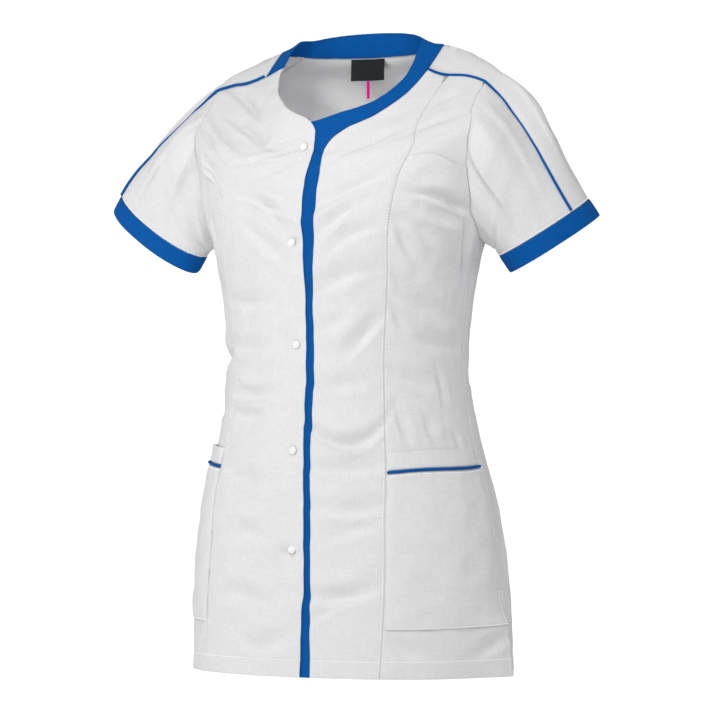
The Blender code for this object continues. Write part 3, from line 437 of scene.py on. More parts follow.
class Tone:
    """One value of a shader. Sums, differences and products of tones add the nodes that make them."""

    def __init__(self, tree, socket=None):
        self.tree = tree
        self.socket = socket

    def mix(self, share, first, second):
        """Mix of two colours by a share."""
        pair = [value if isinstance(value, Tone) else (*value, 1.0) for value in (first, second)]
        return self.node("ShaderNodeMix", {"data_type": "RGBA"}, {0: share, 6: pair[0], 7: pair[1]}, out=2)

    def noise(self, place, scale, detail, **more):
        """Noise at a place."""
        return self.node("ShaderNodeTexNoise", None, {"Vector": place, "Scale": scale, "Detail": detail, **more})

    def waves(self, place, scale, way, **more):
        """Straight waves that run along one direction."""
        return self.node("ShaderNodeTexWave", {"bands_direction": way}, {"Vector": place, "Scale": scale, **more})

    def bump(self, height, strength, distance, **more):
        """Relief in the light from a height."""
        made = {"Strength": strength, "Distance": distance, "Height": height, **more}
        return self.node("ShaderNodeBump", None, made)

    def node(self, kind, settings=None, inputs=None, out=0):
        """New node with its settings made first, then its sockets set or linked."""
        made = self.tree.nodes.new(kind)
        for name, value in (settings or {}).items():
            setattr(made, name, value)
        for name, value in (inputs or {}).items():
            if isinstance(value, Tone):
                self.tree.links.new(value.socket, made.inputs[name])
            else:
                made.inputs[name].default_value = value
        return Tone(self.tree, made.outputs[out])

    def maths(self, operation, first, second):
        return self.node("ShaderNodeMath", {"operation": operation}, {0: first, 1: second})

    def into(self, shader, socket):
        self.tree.links.new(self.socket, shader.inputs[socket])

    def __add__(self, other):
        return self.maths("ADD", self, other)

    def __sub__(self, other):
        return self.maths("SUBTRACT", self, other)

    def __mul__(self, other):
        return self.maths("MULTIPLY", self, other)


def new_material(name, **fixed):
    """Material with its shader, the shader's fixed values and the tone that starts its nodes."""
    made = bpy.data.materials.new(name)
    made.use_nodes = True
    shader = made.node_tree.nodes["Principled BSDF"]
    for key, value in fixed.items():
        shader.inputs[key.replace("_", " ").title().replace("Ior", "IOR")].default_value = value
    return made, shader, Tone(made.node_tree)


def woven(name, colour, darker, shade, roughness, thread, crumple, sheen, shine):
    """Woven cloth: crossing threads of a stated width, slubs along them, soft crumples, and painted shade mixed into
    the colour along its seams.
    """
    made, shader, start = new_material(name, Sheen_Weight=sheen, Specular_IOR_Level=shine)
    chart = start.node("ShaderNodeUVMap", {"uv_map": "thread"})
    seams = start.node("ShaderNodeAttribute", {"attribute_name": "seams"}, out=2)
    threads = []
    for stretch in ((1 / thread, 0.09 / thread, 1.0), (0.09 / thread, 1 / thread, 1.0)):
        way = start.node("ShaderNodeVectorMath", {"operation": "MULTIPLY"}, {0: chart, 1: stretch})
        threads.append(start.noise(way, 0.8, 3.0, Roughness=0.65))
    lines = start.waves(chart, 0.314 / thread, "X")
    cross = start.waves(chart, 0.314 / thread, "Y")
    slub = threads[0] + threads[1] - 1.0
    weave = (lines * cross) * 0.4 + slub
    patch = start.noise(chart, 26.0, 3.0)
    soft = start.noise(chart, 60.0, 2.0)
    tint = slub * 1.5 + patch * 0.4 + 0.3
    # Painted shade: the seams attribute mixes the colour toward the shade colour along seams and stitch rows.
    whole = start.mix(seams, start.mix(tint, darker, colour), shade)
    whole.into(shader, "Base Color")
    (patch * 0.12 + (roughness - 0.06)).into(shader, "Roughness")
    gentle = start.bump(soft, crumple, 0.0012)
    start.bump(weave, 0.5, 0.0003, Normal=gentle).into(shader, "Normal")
    return made


# The third colour is the painted shade of the seams.
poplin = woven("white_poplin", [0.87] * 3, [0.75] * 3, [0.50] * 3, 0.66, 0.0011, 0.30, 0.05, 0.2)
WHITE = (poplin, "cloth_white")


def sewn_on(piece, material, slot, *nodes):
    """Finish, carrier and solids of a piece."""
    piece.data.materials.clear()
    piece.data.materials.append(material)
    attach(piece, "root")
    if nodes:
        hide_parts(*nodes)
    return piece


def cut_of(points):
    """Width, length and area of a grid of cloth laid flat."""
    width = distances(points, "left")[0][:, -1].max()
    length = distances(points, "bottom")[0][-1].max()
    one = np.cross(points[1:, 1:] - points[:-1, :-1], points[1:, :-1] - points[:-1, 1:])
    return width, length, 0.5 * np.linalg.norm(one, axis=-1).sum()


def laid_out(points):
    """Works out a piece's width, length and area laid flat, and uses none of them."""
    width, length, area = cut_of(points)
    area = min(area, width * length)


def stitches(name, runs, colour, pitch=0.0036, length=0.0020, width=0.00050, height=0.00046):
    """Row of short raised stitches along each line of points, as one mesh."""
    places, faces = [], []
    shape = ((-1.0, 0.0), (-0.55, 1.0), (0.0, 1.1), (0.55, 1.0), (1.0, 0.0))
    for points, facing in runs:
        run = run_of(points)
        centres = np.arange(pitch / 2, run[-1] - pitch / 3, pitch)
        if not len(centres):
            continue
        at = along_run(centres, run, points)
        up = unit(along_run(centres, run, facing))
        way = unit(along_run(centres + 0.0008, run, points) - along_run(centres - 0.0008, run, points))
        side = unit(np.cross(way, up))
        for centre, u, w, s in zip(at, up, way, side):
            base = len(places)
            places.append(centre - w * length / 2)
            for share, full in shape[1:-1]:
                middle = centre + w * share * length / 2
                places.append(middle - s * width * full)
                places.append(middle + u * height * full)
                places.append(middle + s * width * full)
                places.append(middle - u * height * 0.6)
            places.append(centre + w * length / 2)
            end = base + 13
            for k in range(4):
                n = (k + 1) % 4
                faces.append((base, base + 1 + n, base + 1 + k))
                for ring in (0, 4):
                    low = base + 1 + ring
                    faces.append((low + k, low + n, low + 4 + n, low + 4 + k))
                faces.append((end, base + 9 + k, base + 9 + n))
    mesh = bpy.data.meshes.new(name)
    mesh.from_pydata([tuple(place) for place in places], [], faces)
    piece = chosen(name, mesh)
    mend_mesh(False, True)
    bpy.ops.object.shade_smooth()
    piece.select_set(False)
    return sewn_on(piece, *colour)


def spun_thread(name, colour, roughness, glow):
    """Sewing thread with its twist, and a painted glow: an emission of its own colour that makes it brighter than the
    light alone.
    """
    made, shader, start = new_material(name, Roughness=roughness, Emission_Strength=glow)
    shader.inputs["Emission Color"].default_value = (*colour, 1.0)
    spot = start.node("ShaderNodeTexCoord", out=3)
    twist = start.noise(spot, 900.0, 1.0)
    start.mix(twist, [c * 0.86 for c in colour], colour).into(shader, "Base Color")
    start.bump(twist, 0.4, 0.0002).into(shader, "Normal")
    return made


# The white thread's emission is a painted glow that brightens the stitches.
WHITE_THREAD = (spun_thread("white_thread", (0.96, 0.96, 0.95), 0.55, 0.30), "cloth_white")


def seam_line(points, facing, side, distance, part=slice(None)):
    """Points and normals along a line at a distance from one side of a grid."""
    away = turned(distances(points, side)[0], side)
    pair = [turned(grid, side) for grid in (points, facing)]
    line, normals = (np.array([along_run(distance, a, row) for a, row in zip(away, seen)]) for seen in pair)
    return line[part], normals[part]


def panel(node, points, facing, edges, lines=(), thick=WALL, look=None, thread=WHITE_THREAD, more=(), **stitch):
    """Piece of cloth with its lines of stitching."""
    piece = sewn_on(cloth(f"{node}_cloth", points, facing, edges, thick), *(look or WHITE), node)
    runs = [seam_line(points, facing, *line) for line in lines] + list(more)
    threads = [stitches(f"{node}_stitching", runs, thread, **stitch)] if runs else []
    laid_out(points)


def worn(angle, t, edges, lift=0.0, kept=1.0):
    """Outer points and normals of cloth on the worn body."""
    base = body(angle, t)
    normal = body_normal(angle, t)
    height = relief(angle, t) + lift + edge_relief(base, edges, kept)
    return base + normal * height[..., None], normal


def side_seam(sign, towards):
    """Front or back border of a side: vent, side seam, armhole, then shoulder seam."""
    def border(t):
        vent = np.clip((VENT_TOP_T - t) / VENT_TOP_T, 0.0, 1.0) * VENT_ANGLE
        if towards == "front":
            upper = smooth(ARMHOLE_FRONT, t)
            shoulder = smooth(PIPING_LINE, t)
            angle = np.where(t < ARMPIT_T, 90.0 + t / ARMPIT_T - vent, upper)
            return sign * np.where(t > TIP_T, shoulder, angle)
        upper = smooth(ARMHOLE_BACK, t)
        share = np.clip((t - RAGLAN_T) / (NECK_T - RAGLAN_T), 0.0, 1.0)
        start = smooth(ARMHOLE_BACK, RAGLAN_T)
        raglan = start + (RAGLAN_NECK_ANGLE - start) * share
        angle = np.where(t < ARMPIT_T, 90.0 + t / ARMPIT_T + 0.4 * vent, upper)
        return sign * np.where(t > RAGLAN_T, raglan, angle)
    return border


VENT_FLARE = ((0.0, 0.0185), (0.03, 0.0160), (0.068, 0.0130), (0.085, 0.0085), (0.10, 0.0035), (0.118, 0.0))
VENT_FLARE_SHARE = {1.0: 1.0, -1.0: 0.35}


def vent_flare(angle, t, sign):
    """How far the free front corner of a side vent stands out."""
    near = np.exp(-((np.clip(90.6 - sign * angle, 0.0, None) / 11.0) ** 2))
    return VENT_FLARE_SHARE[sign] * smooth(VENT_FLARE, t) * near


back_seam = side_seam(1.0, "back")
rows = hem_spread(0.83, 0.0042)[:, None] * NECK_T
share = spread(0.50, 0.0046)[None, :]
angle = back_seam(rows) * (1 - share) + (360.0 - back_seam(rows)) * share
edges = ("seam", "seam", "hem", "seam")
points, facing = worn(angle, rows + 0 * share, edges)
low = rows[:, 0] < VENT_STITCHED_T
lines = (("bottom", HEM_STITCH), ("left", BACK_VENT_STITCH, low), ("right", BACK_VENT_STITCH, low))
panel("back", points, facing, edges, lines)

# Right side front
# White poplin between the princess line and the side seam, from the hem to the armhole.
# Its upper end is sewn to the right front by a seam that curves out to the armhole.
PRINCESS_RIGHT = (
    (0.0, 39), (0.108, 39), (0.186, 39), (0.292, 41.5), (0.34, 41), (0.452, 38), (0.51, 41),
    (0.60, 43), (0.708, 37), (0.742, 36), (0.83, 37),
)
RIGHT_PANEL_TOP = (
    (0.0, 0.742), (0.143, 0.788), (0.286, 0.798), (0.429, 0.803), (0.571, 0.809), (0.714, 0.815),
    (0.857, 0.820), (1.0, 0.826),
)
ARMHOLE_FRONT = (
    (0.670, 91), (0.688, 86), (0.718, 77), (0.750, 71), (0.782, 67), (0.822, 64), (0.858, 67),
    (0.874, 74), (0.880, 83),
)
PIPING_LINE = ((0.880, 83), (0.904, 82), (0.934, 80), (0.963, 81))
YOKE_LOW_T = 0.80
STITCHED_TOP_T = 0.72
SIDE_STITCHED_TOP_T = 0.078
VENT_STITCH = 0.0062

panel_rows = hem_spread(0.69, 0.0036)
share = spread(0.16, 0.0036)[None, :]
t = panel_rows[:, None] * smooth(RIGHT_PANEL_TOP, share)
angle = -smooth(PRINCESS_RIGHT, t) * (1 - share) + side_seam(-1.0, "front")(t) * share
panel_top_angle, panel_top_t = angle[-1], t[-1]
edges = ("seam", "seam", "hem", "seam")
points, facing = worn(angle, t, edges, vent_flare(angle, t, -1.0))
lines = (("bottom", HEM_STITCH), ("right", VENT_STITCH, t[:, -1] < SIDE_STITCHED_TOP_T))
panel("side_front_right", points, facing, edges, lines)

# Right front
# The upper layer of the opening, white poplin from the hem to the shoulder, armhole and neck edge.
# Its turned front edge laps over the blue strip of the left front and carries the snaps.
FRONT_EDGE = (
    (0.0, 0.0145), (0.09, 0.0152), (0.15, 0.0180), (0.24, 0.0168), (0.30, 0.0155), (0.36, 0.0145), (0.46, 0.0137),
    (0.53, 0.0140), (0.64, 0.0148), (0.70, 0.0127), (0.78, 0.0112), (0.85, 0.0138), (0.90, 0.0142), (0.948, 0.0138),
    (0.970, 0.0130), (0.982, 0.0098), (0.990, 0.0060), (1.0, -0.0010),
)
NECK_EDGE_RIGHT = (
    (-81, 1.0), (-67, 1.002), (-56, 1.003), (-43, 1.0046), (-31, 1.0046), (-18, 1.0038), (-4, 1.0), (0, 0.999),
)
BAND_INNER_X = -0.013
OVERLAP_BLEND_X = 0.030
FRONT_LAYER = WALL + 0.0013


def angle_at_x(x, t, least=-60.0, most=60.0, halvings=30):
    """Angle at which the cloth reaches a distance from the middle plane, between two angles."""
    low = np.full(np.shape(t), least)
    high = np.full(np.shape(t), most)
    for _ in range(halvings):
        middle = 0.5 * (low + high)
        beyond = body(middle, t)[..., 0] > x
        high = np.where(beyond, middle, high)
        low = np.where(beyond, low, middle)
    return 0.5 * (low + high)


seam_rows = panel_rows[:-1] * panel_top_t[0]
shoulder_rows = np.concatenate([np.linspace(0.8285, 0.963, 56), np.linspace(0.963, 1.0, 14)[1:]])
seam_t = np.concatenate([seam_rows, panel_top_t, shoulder_rows])
shoulder_seam = side_seam(-1.0, "front")(shoulder_rows)
seam_angle = np.concatenate([-smooth(PRINCESS_RIGHT, seam_rows), panel_top_angle, shoulder_seam])
upper = len(seam_t) - len(panel_rows)
climb = spread(0.22, 0.22 / (upper - 9))
climb = np.interp(np.linspace(0.0, 1.0, upper + 1), np.linspace(0.0, 1.0, len(climb)), climb)[1:]
edge_t = np.concatenate([seam_t[: len(panel_rows)], panel_top_t[0] + (1.0 - panel_top_t[0]) * climb])
share = spread(0.14, 0.0032)[None, :]
t = seam_t[:, None] * (1 - share) + edge_t[:, None] * share
angle = seam_angle[:, None] * (1 - share) + angle_at_x(smooth(FRONT_EDGE, edge_t), edge_t)[:, None] * share
t = t + (smooth(NECK_EDGE_RIGHT, angle) - 1.0) * np.clip((t - 0.93) / 0.07, 0.0, 1.0) ** 2
beyond = body(angle, np.minimum(t, 1.0))[..., 0] - BAND_INNER_X + 2 * OVERLAP_BLEND_X
overlap = FRONT_LAYER * eased(np.clip(beyond / OVERLAP_BLEND_X, 0.0, 1.0))
edges = ("stitched", "fold", "hem", "fold")
points, facing = worn(angle, t, edges, overlap)
low = np.arange(len(seam_t)) < len(panel_rows) - 3
panel("front_right", points, facing, edges, (("left", SEAM_STITCH, low), ("bottom", HEM_STITCH)))

# Left front
# The lower layer of the opening, white poplin between the blue strip and the princess seam.
# Its neck corner is cut away in a curve for the blue band.
PRINCESS_LEFT = (
    (0.0, 30), (0.082, 31), (0.20, 33), (0.244, 34), (0.35, 38.5), (0.442, 40), (0.608, 40),
    (0.708, 37), (0.77, 36), (0.82, 37), (0.85, 39.5), (0.876, 43.5), (0.905, 53), (0.920, 61),
    (0.928, 70), (0.934, 79), (0.963, 81),
)
STRIP_TOP_T = 0.885
STRIP_OUTER = (
    (0.0, 0.0272), (0.08, 0.0255), (0.20, 0.0255), (0.34, 0.0228), (0.41, 0.0234), (0.49, 0.0233), (0.56, 0.0226),
    (0.60, 0.0250), (0.66, 0.0285), (0.72, 0.0285), (0.78, 0.0288), (0.85, 0.0275), (0.885, 0.0270),
)
BAND_CORNER = ((11, 0.915), (17, 0.943), (23, 0.956), (32, NECK_T), (81, NECK_T))
strip_top = float(angle_at_x(STRIP_OUTER[-1][1], np.array([STRIP_TOP_T]))[0])
corner_line = ((strip_top, STRIP_TOP_T),) + BAND_CORNER
rows = hem_spread(0.83, 0.0034)[:, None] * NECK_T
share = spread(0.13, 0.0030)
even = strip_top + (SHOULDER_ANGLE - strip_top) * share
corner_angles = strip_top + (SHOULDER_ANGLE - strip_top) * share**1.25
share = share[None, :]
t = rows / NECK_T * smooth(corner_line, corner_angles)[None, :]
start = angle_at_x(smooth(STRIP_OUTER, t[:, :1]), t[:, :1])
angle = start * (1 - share**1.25) + smooth(PRINCESS_LEFT, t[:, -1:]) * share**1.25
edges = ("seam", "stitched", "hem", "seam")
points, facing = worn(angle, t, edges)
low = rows[:, 0] < STITCHED_TOP_T
panel("front_left", points, facing, edges, (("right", SEAM_STITCH, low), ("bottom", HEM_STITCH)))

# Left side front and left chest
# White poplin between the princess seam and the side seam, up to the mouth of the chest pocket.
# The chest piece starts behind the mouth and goes on to the armhole and the shoulder piping.
SIDE_TOP_T = 0.931
CHEST_LOW_T = 0.761
CHEST_MOUTH = ((36, 0.820), (45, 0.816), (67, 0.781), (90, 0.770))
CHEST_MOUTH_ENDS = (36.5, 67.5)
MOUTH_GAPE = 0.0026
LAYER = WALL + 0.0007

share = spread(0.15, 0.0034)[None, :]
top_t = smooth(CHEST_MOUTH, CHEST_MOUTH_ENDS[0] * (1 - share) + CHEST_MOUTH_ENDS[1] * share)
rows = hem_spread(0.69, 0.0036)[:, None] * YOKE_LOW_T
t = rows / YOKE_LOW_T * top_t
angle = smooth(PRINCESS_LEFT, t) * (1 - share) + side_seam(1.0, "front")(t) * share
mouth = np.clip((t / top_t - 0.90) / 0.07, 0.0, 1.0)
gape = LAYER * eased(mouth) + MOUTH_GAPE * mouth**2 * np.sin(math.pi * share)
gape = gape + vent_flare(angle, t, 1.0)
edges = ("seam", "seam", "hem", "fold")
points, facing = worn(angle, t, edges, gape)
lines = (("bottom", HEM_STITCH), ("right", VENT_STITCH, rows[:, 0] < SIDE_STITCHED_TOP_T))
panel("side_front_left", points, facing, edges, lines)

rows = spread(0.14, 0.0030)[:, None]
share = spread(0.09, 0.0030)[None, :]
inner_t = YOKE_LOW_T + (SIDE_TOP_T - YOKE_LOW_T) * rows
outer_t = CHEST_LOW_T + (SIDE_TOP_T - CHEST_LOW_T) * rows
t = inner_t * (1 - share) + outer_t * share
angle = smooth(PRINCESS_LEFT, t) * (1 - share) + side_seam(1.0, "front")(t) * share
edges = ("seam", "seam", "open", "seam")
points, facing = worn(angle, t, edges)
panel("chest_left", points, facing, edges)

# Blue front band
# A shaped band of royal blue twill round the left neck corner and down the front edge.
# It is faced, pressed flat and sewn to the left front, and shows beside the lapped right front.
# The third tone is the painted shade of the seams.
blue_tones = ((0.0030, 0.112, 0.415), (0.0020, 0.086, 0.340), (0.0010, 0.050, 0.210))
BLUE = (woven("blue_twill", *blue_tones, 0.70, 0.0010, 0.20, 0.0, 0.05), "trim_blue")
BLUE_THREAD = (spun_thread("blue_thread", (0.006, 0.070, 0.27), 0.55, 0.0), "trim_blue")
NECKLINE_LEFT = ((0, 0.991), (7, 0.992), (29, 0.994), (43, 0.989), (55, 0.985), (72, 0.984), (81, 0.988))
BAND_STITCH = 0.0016
BAND_WALL = 0.0015
# Angles of the band's outer edge, and of its inner edge across from them
BAND_PAIRS = ((8, -6.5), (11, -3), (17, 6), (23, 15), (32, 27), (52, 50), (81, 81))

corner_angles = strip_top + (SHOULDER_ANGLE - strip_top) * np.linspace(0.0, 1.0, 70) ** 1.2
strip_rows = np.linspace(STRIP_TOP_T, 0.0, 200)
outer_angle = np.concatenate([corner_angles[::-1], angle_at_x(smooth(STRIP_OUTER, strip_rows[1:]), strip_rows[1:])])
outer_t = np.concatenate([smooth(corner_line, corner_angles)[::-1], strip_rows[1:]])
inner_angle = smooth(BAND_PAIRS, corner_angles[::-1])
inner_t = smooth(NECKLINE_LEFT, inner_angle)
strip_inner = strip_rows[1:] / STRIP_TOP_T * inner_t[-1]
inner_angle = np.concatenate([inner_angle, angle_at_x(BAND_INNER_X, strip_inner)])
inner_t = np.concatenate([inner_t, strip_inner])
share = spread(0.036, 0.0030)[None, :]
angle = inner_angle[:, None] * (1 - share) + outer_angle[:, None] * share
t = inner_t[:, None] * (1 - share) + outer_t[:, None] * share
edges = ("fold", "fold", "open", "fold")
points, facing = worn(angle, t, edges, 0.0003, 0.5)
fine = {"pitch": 0.0030, "length": 0.0021, "width": 0.00026, "height": 0.00020}
panel("front_band", points, facing, edges, (("right", BAND_STITCH),), BAND_WALL, BLUE, BLUE_THREAD, **fine)

# Blue neck band
# A standing band of the same twill from the right shoulder round the back to the left shoulder.
# It is two layers with a turned top edge, and its lower edge is topstitched inside and out.
NECK_TOP = ((81, 0.988), (90, 0.995), (102, 1.0), (262, 1.0), (279, 1.0))
rows = spread(0.034, 0.0024)[:, None]
share = np.linspace(0.0, 1.0, 121)[None, :]
angle = SHOULDER_ANGLE + (360.0 - 2 * SHOULDER_ANGLE) * share + 0 * rows
t = NECK_T + (smooth(NECK_TOP, angle) - NECK_T) * rows
edges = ("open", "open", "seam", "fold")
points, facing = worn(angle, t, edges, 0.0002, 0.5)
points[..., 2] += 0.0055 * rows * np.exp(-(((angle - 258.0) / 15.0) ** 2))
inner_line = seam_line(points - facing * 0.0018, facing, "bottom", 0.0030)[0]
inner = (inner_line, -seam_line(points, facing, "bottom", 0.0030)[1])
fine = {"pitch": 0.0030, "length": 0.0021, "width": 0.00034, "height": 0.00030}
panel("neck_band", points, facing, edges, (("bottom", 0.0026),), 0.0017, BLUE, BLUE_THREAD, [inner], **fine)

# Sleeves
# Short sleeves of white poplin: a front piece, and a back piece cut in one with the shoulder.
# Both arms hang, the left one turned a little back, so the two are posed differently.
CUFF_WIDTH = 0.024
CUFF_STITCH = 0.0020
SLEEVE_ROWS = 54
SHOULDER_ROWS = 24
SLEEVE_TENSION = 0.85
SLEEVE_SQUARE = 0.8
TIP_FLOW = 0.3
TIP_REACH = 9.0
CROWN_TURN = 0.25
SEAM_LEAD = 0.12
FLOW_START_T = 0.76
UNDERARM_REACH = 0.09
BACK_SPANS = ((TIP_T, RAGLAN_T, 15), (RAGLAN_T, ARMPIT_T, 30))
FRONT_SPANS = ((ARMPIT_T, 0.80, 24), (0.80, 0.848, 12), (0.848, TIP_T, 15))
RAGLAN_CELLS = BACK_SPANS[0][2]
BACK_CELLS = sum(span[2] for span in BACK_SPANS)
FRONT_CELLS = sum(span[2] for span in FRONT_SPANS)
SLEEVE_COLUMNS = ("sign", "centre", "axis", "half_up", "half_wide", "piping_angle", "crown")
SLEEVES = {
    "left": (1.0, (0.253, 0.048, -0.209), (0.445, 0.305, -0.840), 0.0645, 0.056, 60.0, 0.014),
    "right": (-1.0, (-0.284, -0.001, -0.201), (-0.55, 0.05, -0.83), 0.0765, 0.0405, 28.0, 0.0065),
}
SLEEVE_RADIUS = 0.062
SLEEVE_LENGTH = 0.17
SLEEVE_FOLDS = {
    "left": (
        (112, 0.7, 0.034, 0.011, 1.1, -0.0015, 0.1), (140, 0.4, 0.036, 0.012, 2.4, -0.0018, 0),
        (92, 0.42, 0.03, 0.012, 0.6, -0.001, 0), (70, 0.22, 0.03, 0.009, -0.8, -0.0014, 0),
        (-40, 0.5, 0.045, 0.011, 1.6, -0.0024, 0), (-90, 0.62, 0.04, 0.011, 1.1, -0.003, 0.08),
        (-120, 0.35, 0.036, 0.01, 0.8, -0.0028, 0), (10, 0.55, 0.04, 0.012, 3, -0.0014, 0),
        (165, 0.65, 0.03, 0.01, 0.4, -0.0026, 0),
    ),
    "right": (
        (120, 0.72, 0.034, 0.012, 0.8, -0.0028, 0.1), (70, 0.42, 0.04, 0.013, 0.5, -0.0012, 0.05),
        (145, 0.45, 0.036, 0.01, 1.8, -0.0028, 0), (48, 0.66, 0.03, 0.012, 0.5, -0.0006, 0),
        (-40, 0.45, 0.045, 0.011, 1.4, -0.0024, 0), (-95, 0.6, 0.04, 0.011, 1, -0.0032, 0.08),
        (-130, 0.35, 0.036, 0.01, 0.7, -0.0028, 0), (165, 0.7, 0.03, 0.01, 0.4, -0.0024, 0),
    ),
}


def loop_stations(table, spans):
    """Angles and heights along an armhole, evenly spaced within each span."""
    heights = []
    for low, high, count in spans:
        fine = np.linspace(low, high, 200)
        points = body(smooth(table, fine), fine)
        length = run_of(points)
        even = np.interp(np.linspace(0.0, length[-1], count + 1), length, fine)
        heights.append(even if not heights else even[1:])
    heights = np.concatenate(heights)
    return smooth(table, heights), heights


def arm_frame(spec):
    """Way out of the cuff, way up and way forward of an arm."""
    axis = unit(np.array(spec["axis"]))
    up = unit(np.array((0.0, 0.0, 1.0)) - axis * axis[2])
    return axis, up, spec["sign"] * unit(np.cross(axis, (0.0, 0.0, 1.0)))


def cuff_ring(spec, turn):
    """Points of the oval round a cuff's middle."""
    _, up, forward = arm_frame(spec)
    return up * spec["half_up"] * np.cos(turn) + forward * spec["half_wide"] * np.sin(turn)


def sleeve(side):
    """Points and normals of a whole sleeve, columns round it and rows from armhole to cuff."""
    spec = dict(zip(SLEEVE_COLUMNS, SLEEVES[side]))
    sign = spec["sign"]
    back_angle, back_t = loop_stations(ARMHOLE_BACK, BACK_SPANS)
    front_angle, front_t = loop_stations(ARMHOLE_FRONT, FRONT_SPANS)
    angle = np.concatenate([back_angle, front_angle[1:-1]])
    t = np.concatenate([back_t, front_t[1:-1]])
    start = body(sign * angle, t) + body_normal(sign * angle, t) * relief(sign * angle, t)[:, None]
    neck_angle = np.concatenate(
        [
            np.linspace(SHOULDER_ANGLE, RAGLAN_NECK_ANGLE, RAGLAN_CELLS + 1),
            np.full(BACK_CELLS - RAGLAN_CELLS, RAGLAN_NECK_ANGLE),
            np.full(FRONT_CELLS - 1, SHOULDER_ANGLE),
        ]
    )
    toward_t = t + SEAM_LEAD * (NECK_T - t)
    toward_angle = angle + SEAM_LEAD * (neck_angle - angle)
    along_body = unit(body(sign * angle, t) - body(sign * toward_angle, toward_t))
    axis, up, forward = arm_frame(spec)
    flow = eased(np.clip((t - FLOW_START_T) / (RAGLAN_T - FLOW_START_T), 0.0, 1.0))
    from_tip = np.minimum(np.arange(len(t)), len(t) - np.arange(len(t)))
    flow = (flow * (TIP_FLOW + (1 - TIP_FLOW) * np.clip(from_tip / TIP_REACH, 0.0, 1.0)))[:, None]
    turned_round = np.linspace(spec["piping_angle"], -180.0, BACK_CELLS + 1)
    rest_round = np.linspace(180.0, spec["piping_angle"], FRONT_CELLS + 1)[1:-1]
    degrees = np.concatenate([turned_round, rest_round])
    turn = np.radians(degrees)[:, None]
    ring = cuff_ring(spec, turn)
    end = np.array(spec["centre"]) - axis * CUFF_WIDTH / 2 + ring
    under = (1 - np.clip((t - ARMPIT_T) / UNDERARM_REACH, 0.0, 1.0))[:, None]
    outward = unit(axis * (1 - under) + unit(end - start) * under)
    leave = unit(along_body * flow + outward * (1 - flow))
    seam = unit(np.roll(start, -1, axis=0) - np.roll(start, 1, axis=0))
    leave = unit(leave - seam * np.sum(leave * seam, axis=1, keepdims=True) * SLEEVE_SQUARE)
    reach = np.linalg.norm(end - start, axis=1, keepdims=True) * SLEEVE_TENSION
    over = np.clip(np.cos(turn * 1.1 + CROWN_TURN), 0.0, 1.0) ** 2 * (np.abs(turn) < math.pi / 2)
    crown = spec["crown"] * over * unit(up + 0.5 * axis)
    shares = spread(0.17, 0.17 / SLEEVE_ROWS)
    points = np.array([
        hermite(w, start, end, leave * reach, axis * reach) + crown * math.sin(math.pi * w**0.5) ** 2 for w in shares
    ])
    round_it = np.roll(points, -1, axis=1) - np.roll(points, 1, axis=1)
    normals = unit(np.cross(np.gradient(points, axis=0), round_it)) * sign
    normals[0] = body_normal(sign * angle, t)
    window = (np.sin(math.pi * np.clip(shares, 0.0, 1.0)) ** 0.6)[:, None]
    height = folds(SLEEVE_FOLDS[side], degrees[None, :], shares[:, None], SLEEVE_RADIUS, SLEEVE_LENGTH)
    height = height + ripple(degrees[None, :], shares[:, None], SLEEVE_RADIUS, SLEEVE_LENGTH)
    return points + normals * (height * window)[..., None], normals, angle, t


sleeve_pieces = {}
for side in SLEEVES:
    sign = SLEEVES[side][0]
    points, normals, angle, t = sleeve(side)
    front = np.concatenate([points[:, BACK_CELLS:], points[:, :1]], axis=1)
    facing = np.concatenate([normals[:, BACK_CELLS:], normals[:, :1]], axis=1)
    edges = ("seam", "seam", "seam", "stitched")
    front = front + facing * edge_relief(front, edges, 0.6)[..., None]
    piece = sewn_on(cloth(f"sleeve_front_{side}_cloth", front, facing, edges), *WHITE, f"sleeve_front_{side}")
    runs = [seam_line(front, facing, "top", CUFF_STITCH)]

    step = np.linspace(1.0, 0.0, SHOULDER_ROWS + 1)[:-1, None]
    lead = angle[: BACK_CELLS + 1]
    base_t = t[: BACK_CELLS + 1]
    over = np.clip(np.arange(BACK_CELLS + 1) / RAGLAN_CELLS, 0.0, 1.0)
    neck_angle = SHOULDER_ANGLE + (RAGLAN_NECK_ANGLE - SHOULDER_ANGLE) * over
    up_t = base_t + (NECK_T - base_t) * step
    up_angle = lead + (neck_angle - lead) * step
    mend = smooth(PIPING_LINE, up_t[:, :1]) - up_angle[:, :1]
    up_angle = (up_angle + mend * (1 - over)) * sign
    upper_facing = body_normal(up_angle, up_t)
    upper = body(up_angle, up_t) + upper_facing * relief(up_angle, up_t)[..., None]
    whole = np.concatenate([upper, points[:, : BACK_CELLS + 1]])
    facing = np.concatenate([upper_facing, normals[:, : BACK_CELLS + 1]])
    keep = np.ones((whole.shape[0] - 1, BACK_CELLS), bool)
    keep[:SHOULDER_ROWS, RAGLAN_CELLS:] = False
    whole = whole + facing * edge_relief(whole, edges, 0.6)[..., None]
    back_piece = cloth(f"sleeve_back_{side}_cloth", whole, facing, edges, keep=keep)
    sewn_on(back_piece, *WHITE, f"sleeve_back_{side}")
    runs.append(seam_line(whole, facing, "top", CUFF_STITCH))
    thread = stitches(f"sleeve_{side}_stitching", runs, WHITE_THREAD, 0.0027, 0.0022, 0.00055)
    laid_out(front)
    area = cut_of(whole[SHOULDER_ROWS:])[2] + cut_of(whole[: SHOULDER_ROWS + 1, : RAGLAN_CELLS + 1])[2]
    cut_of(whole)[:2]
    sleeve_pieces[side] = (points, normals)

